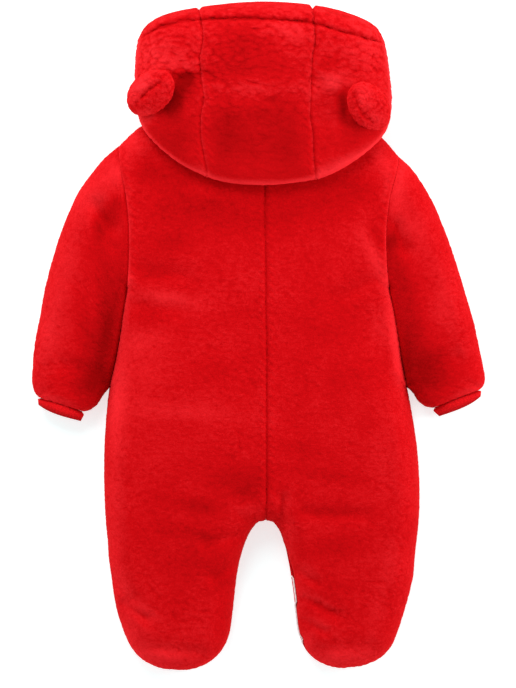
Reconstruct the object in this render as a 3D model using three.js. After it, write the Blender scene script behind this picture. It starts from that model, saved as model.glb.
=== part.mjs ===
// A hooded plush romper for a baby, size 9 months, laid flat on its front with its back up.
// Millimetres. +Z is up, +Y runs from the feet to the hood, +X is to the right seen from above.
// The origin is on the surface that the romper lies on, under the middle of its outline.

import * as THREE from "three";

const cloth = 3; // thickness of the padded plush
const ribbing = 2; // thickness of the cuffs
const seamGap = 0.3; // between two pieces sewn to each other
const sideGap = 0.9; // between a sleeve and the side that it lies against
const sideSeam = 15; // height of the side seams above the surface
const underRound = 12; // how far in from the side seams the underside rounds down to the surface
const hoodClearance = 2; // under the hood, where it lies over the back
const armpit = 6; // the body station where the sleeve leaves the side
const cuffMeets = 10; // the body station where the sleeve's lower end leaves the side
const crotch = 15; // the body station where the legs part
const neckSide = { left: [-65, 250], right: [74, 249] };

// Turns rows of numbers into rows with named columns.
function table(columns, rows) {
  return rows.map((row) => Object.fromEntries(columns.map((name, i) => [name, row[i]])));
}

// Each station crosses one half of the body, from its side to the centre back seam or the inseam.
const bodyColumns = ["sideX", "sideY", "innerX", "innerY"];
const bodyStations = {
  left: table(bodyColumns, [
    [-154, 209, 6, 239],
    [-153, 196, 7, 216],
    [-150, 178, 7, 189],
    [-145, 151, 7, 156],
    [-142, 119, 7, 121],
    [-142, 86, 8, 86],
    [-144, 53, 8, 51],
    [-148, 31, 8, 27],
    [-152, 3, 9, -2],
    [-158, -29, 9, -33],
    [-164, -55, 9, -59],
    [-168, -92, 9, -92],
    [-170, -130, 9, -127],
    [-170, -162, 9, -160],
    [-169, -189, 9, -184],
    [-168, -206, 8, -202],
    [-166, -226, -6, -210],
    [-165, -244, -15, -227],
    [-162, -264, -22, -251],
    [-159, -286, -26, -278],
    [-155, -305, -29, -305],
    [-149, -323, -32, -326],
    [-142, -339, -39, -343],
    [-131, -353, -51, -356],
    [-116, -362, -66, -364],
    [-102, -366, -80, -367],
  ]),
  right: table(bodyColumns, [
    [154, 198, 6, 239],
    [153, 189, 7, 216],
    [150, 176, 7, 189],
    [144, 153, 7, 156],
    [140, 119, 7, 121],
    [140, 86, 8, 86],
    [143, 53, 8, 51],
    [148, 31, 8, 27],
    [153, 3, 9, -2],
    [158, -29, 9, -33],
    [163, -55, 9, -59],
    [170, -92, 9, -92],
    [175, -130, 9, -127],
    [177, -162, 9, -160],
    [177, -189, 9, -184],
    [176, -206, 8, -202],
    [174, -224, 20, -209],
    [172, -242, 28, -227],
    [170, -264, 34, -253],
    [165, -286, 38, -279],
    [160, -303, 41, -304],
    [154, -322, 44, -325],
    [146, -341, 52, -345],
    [133, -354, 63, -356],
    [117, -361, 76, -362],
    [103, -364, 89, -365],
  ]),
};

// Each ring crosses a sleeve, from its outer edge to the body station it lies against, or to a
// point of its own where it has left the side.
const sleeveColumns = ["outerX", "outerY", "beside", "innerX", "innerY"];
const sleeveRings = {
  left: table(sleeveColumns, [
    [-154, 209, 6],
    [-170, 196, 6.12],
    [-184, 179, 6.35],
    [-198, 159, 6.65],
    [-209, 136, 7],
    [-219, 110, 7.45],
    [-227, 84, 7.95],
    [-235, 53, 8.5],
    [-241, 20, 9.05],
    [-247, -13, 9.6],
    [-249, -39, 10],
    [-249, -52, null, -171.5, -65],
    [-246.5, -61, null, -178, -75],
    [-243.5, -65, null, -186, -81],
    [-241, -67, null, -193, -82.5],
  ]),
  right: table(sleeveColumns, [
    [154, 198, 6],
    [168, 185, 6.12],
    [180, 168, 6.3],
    [193, 145, 6.6],
    [203, 121, 6.95],
    [212, 97, 7.4],
    [220, 72, 7.9],
    [229, 42, 8.45],
    [237, 15, 9],
    [243, -14, 9.55],
    [248, -37, 10],
    [249, -46, null, 170, -62],
    [248, -53, null, 176, -71],
    [245.5, -56.5, null, 184, -77],
    [243, -58.5, null, 192, -78.5],
  ]),
};

// The end of each cuff, from its outer to its inner corner.
const cuffEnd = {
  left: { outer: [-240.5, -76], inner: [-198, -92.5] },
  right: { outer: [242.5, -67], inner: [201, -87] },
};
const cuffHeight = { low: 1.5, high: 20 };

// The height of the puffed cloth where it is far from every edge.
const bodyCrown = table(["x", "y", "height"], [
  [0, 225, 34],
  [-105, 200, 34],
  [105, 195, 34],
  [-85, 110, 43],
  [90, 110, 43],
  [0, 20, 46],
  [-85, -90, 50],
  [95, -90, 50],
  [-110, -200, 48],
  [120, -200, 48],
  [-95, -290, 44],
  [100, -290, 44],
  [-88, -335, 41],
  [96, -335, 41],
  [-185, 130, 41],
  [182, 118, 41],
  [-200, 45, 42],
  [198, 40, 42],
  [-208, -30, 33],
  [206, -25, 33],
]);

// The largest folds, as troughs between two points.
const foldColumns = ["fromX", "fromY", "toX", "toY", "width", "depth"];
const bodyFolds = table(foldColumns, [
  [-177, 143, -163, 120, 10, 8],
  [150, 122, 160, 96, 9, 6],
  [-128, 75, -80, 66, 12, 3],
  [-132, 34, -88, 30, 12, 3],
  [132, 66, 84, 40, 12, 3],
  [26, -176, 28, -204, 7, 4],
  [52, -192, 112, -196, 9, 3],
  [-58, -226, -24, -218, 8, 4],
  [-48, -264, -26, -249, 8, 4],
  [-160, -266, -138, -288, 8, 4],
  [-148, -293, -122, -308, 8, 4],
  [44, -258, 62, -268, 7, 4],
  [52, -288, 86, -304, 8, 5],
  [50, -312, 72, -322, 7, 4],
  [-118, -340, -66, -346, 9, 3],
  [70, -342, 120, -340, 9, 3],
  [-214, -30, -176, -38, 9, 4],
  [216, -22, 176, -34, 9, 4],
]);

// The shoulder lines, from the neck to the top of the armhole.
const shoulders = {
  left: [neckSide.left, [-100, 242], [-131, 230], [-154, 209]],
  right: [neckSide.right, [104, 238], [133, 221], [154, 198]],
};
const backNeck = {
  left: [neckSide.left, [-38, 242], [6, 239]],
  right: [neckSide.right, [46, 242], [6, 239]],
};
const frontNeck = {
  left: [neckSide.left, [-47, 240], [-30, 232], [-12, 227.5], [6, 226]],
  right: [neckSide.right, [57, 239], [41, 231.5], [24, 227.5], [6, 226]],
};

// The outline of the hood, from one corner of its brim round over the back to the other.
const hoodOutline = table(["x", "y", "height", "reach"], [
  [-132, 326, 24, 40],
  [-135, 305, 25, 44],
  [-136, 280, 26, 44],
  [-135, 252, 28, 40],
  [-128, 229, 36, 30],
  [-114, 211, 43, 24],
  [-91, 191, 46, 20],
  [-66, 177, 46, 20],
  [-40, 168, 46, 20],
  [5, 164, 46, 20],
  [50, 168, 46, 20],
  [72, 173, 46, 20],
  [96, 185, 46, 20],
  [119, 201, 44, 24],
  [138, 221, 39, 28],
  [145, 240, 30, 38],
  [146, 262, 27, 44],
  [144, 284, 26, 44],
  [141, 308, 25, 42],
  [138, 324, 24, 40],
]);
const brim = [[-132, 326], [-124, 340], [-105, 352], [-64, 361], [0, 367], [62, 363], [100, 354],
  [128, 340], [138, 324]];
const brimDroop = 5; // how far past the brim its slope would reach the surface
const brimReach = 46;
const brimBlend = 0.3; // how far down the gusset seam the rows still bend with the brim
const gussetCorners = { brim: [-61, 60], neck: [-38, 46] };
const hoodCrown = table(["x", "y", "height"], [
  [0, 325, 61],
  [0, 275, 67],
  [0, 220, 62],
  [-90, 290, 63],
  [95, 285, 63],
  [-85, 225, 60],
  [90, 220, 60],
  [0, 190, 59],
]);
const hoodFolds = table(foldColumns, [
  [-92, 288, -60, 293, 8, 3],
  [-30, 262, 35, 258, 14, 2],
  [84, 262, 60, 275, 8, 3],
]);

// Each ear is a stuffed round, sewn on the hood and creased along its length.
const earColumns = ["name", "x", "y", "turn", "length", "width", "middle", "slope"];
const ears = table(earColumns, [
  ["ear_left", -117, 267, 35, 54, 42, 63, 0.28],
  ["ear_right", 120, 250, -48, 54, 40, 63, -0.28],
]);
const earRise = 14;
const earCrease = 3;

// The white tape shows on the front's edge, between two stations of the right inseam.
const placket = {
  opens: 17,
  from: 18.4,
  to: 21.6,
  closes: 24,
  width: 2,
  thickness: 1.2,
  edge: 0.8,
  inset: 3.2,
};

const colours = {
  plush: 0xc80a11,
  sleeve: 0xd31219,
  hood: 0xbd060d,
  ear: 0xcd0b11,
  cuff: 0xd3101a,
  tape: 0xf2efec,
};

// A smooth curve through points, read by the number of the point.
function through(points) {
  const vectors = points.map(([x, y, z = 0]) => new THREE.Vector3(x, y, z));
  const curve = new THREE.CatmullRomCurve3(vectors, false, "centripetal");
  return (station) => curve.getPoint(station / (points.length - 1));
}

// Evenly numbered samples of such a curve, for the outlines that heights are measured from.
function sampled(points, perPoint = 4) {
  const curve = through(points);
  const count = (points.length - 1) * perPoint;
  return Array.from({ length: count + 1 }, (_, i) => curve(i / perPoint));
}

const quarterRound = (t) => Math.sqrt(1 - (1 - Math.min(Math.max(t, 0), 1)) ** 2);

const halves = {};
for (const side of ["left", "right"]) {
  const rows = bodyStations[side];
  const sideLine = rows.map((row) => [row.sideX, row.sideY]);
  const innerLine = rows.map((row) => [row.innerX, row.innerY]);
  const sideCurve = through(sideLine);
  const centreBack = through(innerLine.slice(0, crotch + 1));
  const inseam = through(innerLine.slice(crotch));
  halves[side] = {
    outward: side === "left" ? -1 : 1,
    sideLine,
    innerLine,
    sideAt: sideCurve,
    innerAt: (station) => (station <= crotch ? centreBack(station) : inseam(station - crotch)),
  };
}

// The point of a sleeve ring that lies nearest the body.
function sleeveInner(side, ring) {
  if (ring.beside === null) return new THREE.Vector3(ring.innerX, ring.innerY, 0);
  const point = halves[side].sideAt(ring.beside);
  point.x += halves[side].outward * (ring.beside > armpit ? sideGap : seamGap);
  return point;
}

// The edges that the cloth rounds down to, each with its height and how far the rounding reaches.
const bodyEdges = [];
for (const side of ["left", "right"]) {
  const { sideLine, innerLine } = halves[side];
  const rings = sleeveRings[side];
  const sleeveEnd = rings.slice(cuffMeets).map((ring) => sleeveInner(side, ring).toArray());
  const outerLine = rings.map((ring) => [ring.outerX, ring.outerY]);
  const legRound = [...sideLine.slice(cuffMeets), ...innerLine.slice(crotch).reverse()];
  bodyEdges.push(
    { line: sampled(shoulders[side]), height: sideSeam, reach: 26 },
    { line: sampled(outerLine), height: sideSeam, reach: 25 },
    { line: sampled(sideLine.slice(armpit, cuffMeets + 1)), height: sideSeam, reach: 13 },
    { line: sampled(sleeveEnd), height: sideSeam, reach: 17 },
    { line: sampled([outerLine.at(-1), sleeveEnd.at(-1)], 1), height: 23, reach: 12 },
    { line: sampled(legRound), height: sideSeam, reach: 28 },
  );
}

const seamedEdges = bodyEdges.filter((edge) => edge.height === sideSeam);
const brimSlope = sampled(brim.map(([x, y], i) => {
  const middle = Math.sin((Math.PI * i) / (brim.length - 1));
  return [x, y + brimDroop * middle, 24 - 12 * middle];
}));
const hoodLine = sampled(hoodOutline.map((row) => [row.x, row.y, row.height]));
const hoodReach = sampled(hoodOutline.map((row) => [row.x, row.y, row.reach]));
const hoodSides = { line: hoodLine, reaches: hoodReach.map((point) => point.z) };
const hoodTopEdges = [{ line: brimSlope, reach: brimReach }, hoodSides];

// How near a point is to the edges: 0 on an edge and 1 where its rounding ends, with the height
// of the nearest edges and the plain distance to them.
function nearness(edges, x, y) {
  let nearest = Infinity;
  let distance = Infinity;
  let weights = 0;
  let heights = 0;
  for (const edge of edges) {
    let best = { share: Infinity };
    for (let i = 0; i + 1 < edge.line.length; i++) {
      const a = edge.line[i];
      const b = edge.line[i + 1];
      const dx = b.x - a.x;
      const dy = b.y - a.y;
      const along = ((x - a.x) * dx + (y - a.y) * dy) / (dx * dx + dy * dy);
      const part = Math.min(Math.max(along, 0), 1);
      const gap = Math.hypot(x - a.x - part * dx, y - a.y - part * dy);
      const reach = edge.reaches
        ? edge.reaches[i] + part * (edge.reaches[i + 1] - edge.reaches[i])
        : edge.reach;
      const height = edge.height ?? a.z + part * (b.z - a.z);
      if (gap / reach < best.share) best = { share: gap / reach, gap, height };
    }
    const weight = 1 / (best.share ** 2 + 1e-6);
    weights += weight;
    heights += weight * best.height;
    nearest = Math.min(nearest, best.share);
    distance = Math.min(distance, best.gap);
  }
  return { share: nearest, distance, height: heights / weights };
}

// A smooth mean of the heights of the crown points, weighted by how near they are.
function crownHeight(crown, x, y, spread) {
  let weights = 0;
  let heights = 0;
  for (const point of crown) {
    const away = Math.hypot(x - point.x, y - point.y) / spread;
    const weight = Math.exp(-away * away) + 1e-6;
    weights += weight;
    heights += weight * point.height;
  }
  return heights / weights;
}

function foldDepth(folds, x, y) {
  let depth = 0;
  for (const fold of folds) {
    const dx = fold.toX - fold.fromX;
    const dy = fold.toY - fold.fromY;
    const along = ((x - fold.fromX) * dx + (y - fold.fromY) * dy) / (dx * dx + dy * dy);
    const part = Math.min(Math.max(along, 0), 1);
    const gap = Math.hypot(x - fold.fromX - part * dx, y - fold.fromY - part * dy);
    depth += fold.depth * Math.exp(-((gap / fold.width) ** 2));
  }
  return depth;
}

function puffed(edges, crown, spread, folds, x, y) {
  const near = nearness(edges, x, y);
  const round = quarterRound(near.share);
  const full = crownHeight(crown, x, y, spread);
  return near.height + (full - near.height) * round - foldDepth(folds, x, y) * round;
}

// Height of the upper face of the body and sleeves.
const bodyTop = (x, y) => puffed(bodyEdges, bodyCrown, 60, bodyFolds, x, y);

// Height of their underside, flat on the surface and rounded up at the side seams.
function bodyUnder(x, y) {
  const { distance } = nearness(seamedEdges, x, y);
  return (sideSeam - seamGap) * (1 - quarterRound(distance / underRound));
}

// Height of the upper face of the hood.
const hoodTop = (x, y) => puffed(hoodTopEdges, hoodCrown, 55, hoodFolds, x, y);

// The outer edge of the shoulders and upper sleeves, from left to right, for the hood to clear.
const shoulderRun = [
  ...sleeveRings.left.slice(1, 5).map((ring) => [ring.outerX, ring.outerY]).reverse(),
  ...[...shoulders.left].reverse(),
  ...shoulders.right,
  ...sleeveRings.right.slice(1, 5).map((ring) => [ring.outerX, ring.outerY]),
];

const shoulderMargin = 4;
const shoulderCrown = 34;
const shoulderReach = 26;
const shoulderEdges = [{ line: sampled(shoulderRun), height: sideSeam, reach: shoulderReach }];

function shoulderHeightAt(x) {
  const i = Math.max(shoulderRun.findIndex((point) => point[0] > x), 1);
  const [ax, ay] = shoulderRun[i - 1];
  const [bx, by] = shoulderRun[i];
  return ay + ((x - ax) / (bx - ax)) * (by - ay);
}

// Height of what the hood lies on: the back, a generous round over the shoulder edge, or the
// bare surface.
function underHood(x, y) {
  const { distance } = nearness(shoulderEdges, x, y);
  const inside = y <= shoulderHeightAt(x);
  const past = (inside ? distance : -distance) + shoulderMargin;
  if (past < 0) return sideSeam * Math.sqrt(Math.max(1 - (past / underRound) ** 2, 0));
  const round = sideSeam + (shoulderCrown - sideSeam) * quarterRound(past / shoulderReach);
  return inside ? Math.max(round, bodyTop(x, y)) : round;
}

// Height of the hood's lower face, where it lies on something of the given height.
function hoodUnder(x, y, below) {
  const near = nearness([hoodSides], x, y);
  const rest = below > 0 ? below + hoodClearance : 0;
  return rest + Math.max(near.height - rest, 0) * (1 - quarterRound(near.distance / 10));
}

// A wall of cloth from a grid of points on its outer face. facing is 1 where rows crossed with
// columns point outwards. Seam points lose the part of their normal that leans across the seam,
// and points on a level rim lose the part that leans up or down.
function clothWall(grid, { facing, thickness = cloth, closed = false }) {
  const rows = grid.length;
  const columns = grid[0].length;
  const at = (i, j) => grid[i][(j + columns) % columns].point;
  const inner = grid.map((row, i) => row.map((spot, j) => {
    const chord = (a, b) => new THREE.Vector3().subVectors(b, a).normalize();
    const down = new THREE.Vector3();
    const across = new THREE.Vector3();
    if (i > 0) down.add(chord(at(i - 1, j), spot.point));
    if (i < rows - 1) down.add(chord(spot.point, at(i + 1, j)));
    if (closed || j > 0) across.add(chord(at(i, j - 1), spot.point));
    if (closed || j < columns - 1) across.add(chord(spot.point, at(i, j + 1)));
    const normal = down.cross(across).multiplyScalar(facing);
    if (spot.rim) normal.z = 0;
    if (spot.seam) normal.addScaledVector(spot.seam, -normal.dot(spot.seam));
    return spot.point.clone().addScaledVector(normal.normalize(), -thickness);
  }));
  const positions = [];
  grid.forEach((row) => row.forEach((spot) => positions.push(...spot.point.toArray())));
  inner.forEach((row) => row.forEach((point) => positions.push(...point.toArray())));
  const innerStart = rows * columns;
  const index = [];
  const triangle = (a, b, c) => index.push(...(facing > 0 ? [a, b, c] : [a, c, b]));
  const rim = (a, b) => {
    triangle(b, a, a + innerStart);
    triangle(b, a + innerStart, b + innerStart);
  };
  const lastColumn = closed ? columns : columns - 1;
  for (let i = 0; i < rows - 1; i++) {
    for (let j = 0; j < lastColumn; j++) {
      const next = (j + 1) % columns;
      const corners = [[i, j], [i + 1, j], [i + 1, next], [i, next]];
      const [a, b, c, d] = corners.map(([row, column]) => row * columns + column);
      triangle(a, b, c);
      triangle(a, c, d);
      triangle(a + innerStart, c + innerStart, b + innerStart);
      triangle(a + innerStart, d + innerStart, c + innerStart);
      if (i === 0) rim(d, a);
      if (i === rows - 2) rim(b, c);
      if (!closed && j === 0) rim(a, b);
      if (!closed && j === columns - 2) rim(c, d);
    }
  }
  const geometry = new THREE.BufferGeometry();
  geometry.setAttribute("position", new THREE.Float32BufferAttribute(positions, 3));
  geometry.setIndex(index);
  geometry.computeVertexNormals();
  return geometry;
}

function mesh(name, geometry, colour, roughness = 0.95) {
  const material = new THREE.MeshStandardMaterial({ color: colour, roughness, metalness: 0 });
  const made = new THREE.Mesh(geometry, material);
  made.name = name;
  return made;
}

// Distances in from both edges of a row, close together where the cloth rounds down, as shares
// of the row's width.
function sharesAcross(width, outerSteps, innerSteps, between) {
  const wanted = outerSteps.at(-1) + innerSteps.at(-1);
  const scale = Math.min(1, (width * 0.86) / wanted);
  const first = outerSteps.map((step) => (step * scale) / width);
  const last = innerSteps.map((step) => 1 - (step * scale) / width).reverse();
  const gap = (last[0] - first.at(-1)) / (between + 1);
  const middle = Array.from({ length: between }, (_, i) => first.at(-1) + gap * (i + 1));
  return [...first, ...middle, ...last];
}

const armholeStations = [0, 0.5, 1.2, 2.2, 3.2, 4.2, 5.1, 5.65, armpit];
const layers = {
  back: {
    stations: [...armholeStations, 6.5, 7, 8, 9, 10, 11, 12, 13, 14, 14.6, crotch, 15.4, 16, 17,
      18, 19, 20, 21, 22, 23, 24, 25],
    outerSteps: [0, 1.5, 5.5, 12, 20, 30],
    innerSteps: [0, 2, 7, 15, 26],
    between: 2,
    neck: backNeck,
    shoulderColumn: 6,
    height: bodyTop,
    rimHeight: sideSeam,
  },
  front: {
    stations: [...armholeStations, 6.5, 7, 8, 9, 10, 12, 14, crotch, 15.4, 16, 17, 18.5, 20, 21.5,
      22.5, 23.5, 24.4, 25],
    outerSteps: [0, 2, 6, 14],
    innerSteps: [0, 2, 6, 14],
    between: 2,
    neck: frontNeck,
    shoulderColumn: 4,
    height: bodyUnder,
    rimHeight: sideSeam - seamGap,
  },
};

// The shoulder and neck edge of a panel, a point for each column, bent at the side of the neck.
function neckEdge(side, layer, columns) {
  const shoulder = through([...shoulders[side]].reverse());
  const neck = through(layer.neck[side]);
  return Array.from({ length: columns }, (_, j) => {
    const past = j - layer.shoulderColumn;
    if (past <= 0) return shoulder((j / layer.shoulderColumn) * (shoulders[side].length - 1));
    return neck((past / (columns - 1 - layer.shoulderColumn)) * (layer.neck[side].length - 1));
  });
}

const acrossX = new THREE.Vector3(1, 0, 0);

// Square to a seam that runs from one point to another, level with the surface.
function squareTo(from, to) {
  return new THREE.Vector3(to.y - from.y, from.x - to.x, 0).normalize();
}

// How far the back's inseam stands in from the front's edge to leave the placket tape in view.
function placketInset(side, station) {
  if (side !== "right") return 0;
  const ramp = (past) => Math.min(Math.max(past, 0), 1);
  return placket.inset * ramp(station - placket.opens) * ramp(placket.closes - station);
}

function bodyPanel(side, layerName) {
  const layer = layers[layerName];
  const half = halves[side];
  const columns = layer.outerSteps.length + layer.innerSteps.length + layer.between;
  const neck = neckEdge(side, layer, columns);
  const start = [half.sideAt(0), neck.at(-1)];
  const grid = layer.stations.map((station, i) => {
    const outer = half.sideAt(station);
    const inner = half.innerAt(station);
    const neckShare = Math.max(1 - station / 3, 0) ** 2;
    inner.y += (neck.at(-1).y - half.innerLine[0][1]) * neckShare;
    if (station <= crotch) inner.x += (half.outward * seamGap) / 2;
    if (layerName === "back" && station > crotch) {
      inner.x += half.outward * placketInset(side, station);
    }
    const shares = sharesAcross(
      inner.distanceTo(outer), layer.outerSteps, layer.innerSteps, layer.between,
    );
    return shares.map((share, j) => {
      const point = new THREE.Vector3().lerpVectors(outer, inner, share);
      const raised = new THREE.Vector3().lerpVectors(start[0], start[1], share);
      raised.subVectors(neck[j], raised);
      point.addScaledVector(raised, Math.max(1 - station / 4.5, 0) ** 2);
      const rim = (j === 0 && station >= armpit) || (i === 0 && j <= layer.shoulderColumn)
        || (j === columns - 1 && station >= crotch) || i === layer.stations.length - 1;
      point.z = rim ? layer.rimHeight : layer.height(point.x, point.y);
      let seam = null;
      if (j === columns - 1 && station <= crotch) seam = acrossX;
      if (j === 0 && station <= armpit) {
        seam = squareTo(half.sideAt(Math.max(station - 0.5, 0)), half.sideAt(station + 0.5));
      }
      if (i === 0 && j > layer.shoulderColumn) {
        seam = j === columns - 1 ? acrossX : squareTo(neck[j - 1], neck[j + 1]);
      }
      return { point, rim, seam };
    });
  });
  const upwards = layerName === "back" ? 1 : -1;
  const facing = -half.outward * upwards;
  return mesh(`${layerName}_${side}`, clothWall(grid, { facing }), colours.plush);
}

// A sleeve is one tube: each ring goes over the top from the outer edge to the body, and back
// underneath. The first ring follows the armhole.
function sleeve(side) {
  const half = halves[side];
  const top = armholeStations.length;
  const grid = sleeveRings[side].map((ring, i) => {
    const outer = new THREE.Vector3(ring.outerX, ring.outerY, 0);
    const inner = sleeveInner(side, ring);
    const spread = outer.distanceTo(inner);
    const straight = sharesAcross(spread, [0, 1.5, 5.5, 13], [0, 1.5, 5.5, 13], 1);
    const bend = Math.max(1 - i / 6, 0) ** 2;
    const plan = straight.map((share, j) => {
      const station = armholeStations[j];
      const armhole = half.sideAt(station);
      armhole.x += half.outward * seamGap;
      if (i === 0) return armhole;
      const chord = new THREE.Vector3().lerpVectors(half.sideAt(0), half.sideAt(armpit), share);
      const bulge = j === 0 || j === top - 1 ? 0 : bend;
      return new THREE.Vector3().lerpVectors(outer, inner, share)
        .addScaledVector(armhole.sub(chord), bulge);
    });
    const seamEnd = i === 0 || i === sleeveRings[side].length - 1;
    const seam = seamEnd ? squareTo(plan[0], plan.at(-1)) : null;
    const upper = plan.map((flat, j) => {
      const rim = j === 0 || j === top - 1;
      const point = flat.clone().setZ(rim ? sideSeam : bodyTop(flat.x, flat.y));
      return { point, rim, seam };
    });
    const lower = plan.slice(1, -1).reverse().map((flat) => {
      const point = flat.clone().setZ(bodyUnder(flat.x, flat.y));
      return { point, seam };
    });
    return [...upper, ...lower];
  });
  const facing = -half.outward;
  return mesh(`sleeve_${side}`, clothWall(grid, { facing, closed: true }), colours.sleeve);
}

function cuff(side) {
  const half = halves[side];
  const last = sleeveRings[side].at(-1);
  const start = { outer: [last.outerX, last.outerY], inner: [last.innerX, last.innerY] };
  const end = cuffEnd[side];
  const turns = 18;
  const across = squareTo(
    new THREE.Vector3(...start.outer, 0),
    new THREE.Vector3(...start.inner, 0),
  );
  const grid = [0.05, 0.5, 1].map((along, i) => {
    const mix = (a, b) => a.map((value, k) => value + (b[k] - value) * along);
    const outer = mix(start.outer, end.outer);
    const inner = mix(start.inner, end.inner);
    return Array.from({ length: turns }, (_, j) => {
      const turn = (2 * Math.PI * j) / turns;
      const share = 0.5 - 0.47 * Math.cos(turn);
      const middle = (cuffHeight.low + cuffHeight.high) / 2;
      const lift = ((cuffHeight.high - cuffHeight.low) / 2) * Math.sin(turn);
      const flat = outer.map((value, k) => value + (inner[k] - value) * share);
      return {
        point: new THREE.Vector3(flat[0], flat[1], middle + lift),
        seam: i === 0 ? across : null,
      };
    });
  });
  const facing = -half.outward;
  const geometry = clothWall(grid, { facing, thickness: ribbing, closed: true });
  return mesh(`cuff_${side}`, geometry, colours.cuff, 0.9);
}

// The hood's rows run from the brim to the fold over the back. over is how far down the gusset
// seam a row starts, fold is how far round the outline it turns under, from the brim's corner to
// the gusset, and under is how far up the gusset's lower seam it ends, if not at the neck.
const hoodRows = table(["over", "fold", "under"], [
  [0, 0],
  [0.08, 0.06],
  [0.17, 0.115],
  [0.26, 0.16],
  [0.35, 0.215],
  [0.45, 0.28],
  [0.57, 0.38],
  [0.69, 0.5],
  [0.79, 0.635, 1],
  [0.87, 0.765, 0.62],
  [0.94, 0.88, 0.3],
  [0.983, 0.98, 0.05],
]);
const backNeckRows = 3;
const outlineAt = through(hoodOutline.map((row) => [row.x, row.y, row.height]));
const lastOutline = hoodOutline.length - 1;

// Where the outline is crossed by the gusset's seams.
const foldStation = { left: 7.4, right: 10.55 };

function brimAt(x) {
  let low = 0;
  let high = brim.length - 1;
  const curve = through(brim);
  while (high - low > 1e-4) {
    const middle = (low + high) / 2;
    if (curve(middle).x < x) low = middle;
    else high = middle;
  }
  return curve(low);
}

function gussetSeam(side, over) {
  const k = side === "left" ? 0 : 1;
  const start = brimAt(gussetCorners.brim[k]);
  const end = outlineAt(foldStation[side]);
  return new THREE.Vector3().lerpVectors(start.setZ(0), end.setZ(0), over);
}

// How far the brim's curve stands out past the straight line from the gusset to its corner.
function brimBulge(side, share) {
  const [x, y] = brim[side === "left" ? 0 : brim.length - 1];
  const straight = gussetSeam(side, 0).lerp(new THREE.Vector3(x, y, 0), share);
  return brimAt(straight.x).y - straight.y;
}

function lowerGussetSeam(side, under) {
  const k = side === "left" ? 0 : 1;
  const start = outlineAt(foldStation[side]).setZ(0);
  const neck = new THREE.Vector3(gussetCorners.neck[k], 242, 0);
  return start.lerp(neck, under);
}

function hoodSide(side) {
  const half = halves[side];
  const front = layers.front;
  const columns = front.outerSteps.length + front.innerSteps.length + front.between;
  const frontEdge = neckEdge(side, front, columns).slice(front.shoulderColumn).reverse();
  const backEdge = through(backNeck[side]);
  const grid = hoodRows.map((row, i) => {
    const away = half.outward;
    const corner = side === "left" ? 0 : lastOutline;
    const station = THREE.MathUtils.lerp(corner, foldStation[side], row.fold);
    const start = gussetSeam(side, row.over);
    start.x += away * seamGap;
    const fold = outlineAt(station);
    let end;
    const atFront = i < frontEdge.length;
    const atNeck = !atFront && (row.under === undefined || row.under === 1);
    if (atFront) {
      end = frontEdge[i].clone();
      end.y += 2 * seamGap;
      end.x += away * (i === 0 ? 2 * seamGap : -seamGap);
    } else if (atNeck) {
      end = backEdge((i - frontEdge.length + 1) / backNeckRows);
      end.x += away * (row.under === 1 ? seamGap : 0);
    } else {
      end = lowerGussetSeam(side, row.under);
      end.x += away * 2 * seamGap;
    }
    const onSeam = row.under !== undefined;
    const lastRow = i === hoodRows.length - 1;
    const upperShares = [0, 0.3, 0.55, 0.74, 0.87, 0.96];
    const lowerShares = [0.05, 0.16, 0.34, 0.6, 0.82, 1];
    const upper = upperShares.map((share, j) => {
      const point = start.clone().lerp(fold, share);
      point.y += brimBulge(side, share) * Math.max(1 - row.over / brimBlend, 0) ** 2;
      point.z = hoodTop(point.x, point.y);
      return { point, seam: j === 0 || lastRow ? acrossX : null };
    });
    const lower = lowerShares.map((share, j) => {
      const point = new THREE.Vector3().lerpVectors(fold, end, share);
      const last = j === lowerShares.length - 1;
      const below = i < frontEdge.length - 1 ? 0 : underHood(point.x, point.y);
      point.z = hoodUnder(point.x, point.y, below);
      if (last && atFront) point.z = bodyUnder(point.x, point.y);
      if (last && atNeck) point.z = bodyTop(point.x, point.y) + 2 * seamGap;
      return { point, seam: (last && onSeam) || lastRow ? acrossX : null };
    });
    return [...upper, { point: fold, seam: lastRow ? acrossX : null }, ...lower];
  });
  return mesh(`hood_${side}`, clothWall(grid, { facing: half.outward }), colours.hood);
}

function hoodCentre() {
  const columns = 9;
  const over = hoodRows.map((row) => row.over);
  const under = hoodRows.filter((row) => row.under !== undefined).map((row) => row.under);
  const leftNeck = gussetCorners.neck[0];
  const rightNeck = gussetCorners.neck[1];
  const spots = Array.from({ length: columns }, (_, j) => {
    const share = j / (columns - 1);
    const [brimLeft, brimRight] = gussetCorners.brim;
    return {
      brim: brimAt(brimLeft + (brimRight - brimLeft) * share).setZ(0),
      fold: outlineAt(foldStation.left + (foldStation.right - foldStation.left) * share),
      neck: new THREE.Vector3(leftNeck + (rightNeck - leftNeck) * share,
        242 - 3 * Math.sin(Math.PI * share), 0),
      edge: j === 0 || j === columns - 1,
    };
  });
  const spot = (point, height, { edge }) => ({
    point: point.setZ(height(point.x, point.y)),
    seam: edge ? acrossX : null,
  });
  const upper = over.map((share) => spots.map((place) => {
    const flatFold = place.fold.clone().setZ(0);
    return spot(place.brim.clone().lerp(flatFold, share), hoodTop, place);
  }));
  const fold = [spots.map((place) => ({
    point: place.fold.clone(),
    seam: place.edge ? acrossX : null,
  }))];
  const lower = under.reverse().map((share) => spots.map((place) => {
    const point = place.fold.clone().setZ(0).lerp(place.neck, share);
    const onNeck = (x, y) => bodyTop(x, y) + 2 * seamGap;
    const overBack = (x, y) => hoodUnder(x, y, underHood(x, y));
    return spot(point, share === 1 ? onNeck : overBack, place);
  }));
  const facing = 1;
  return mesh("hood_centre", clothWall([...upper, ...fold, ...lower], { facing }), colours.hood);
}

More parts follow.
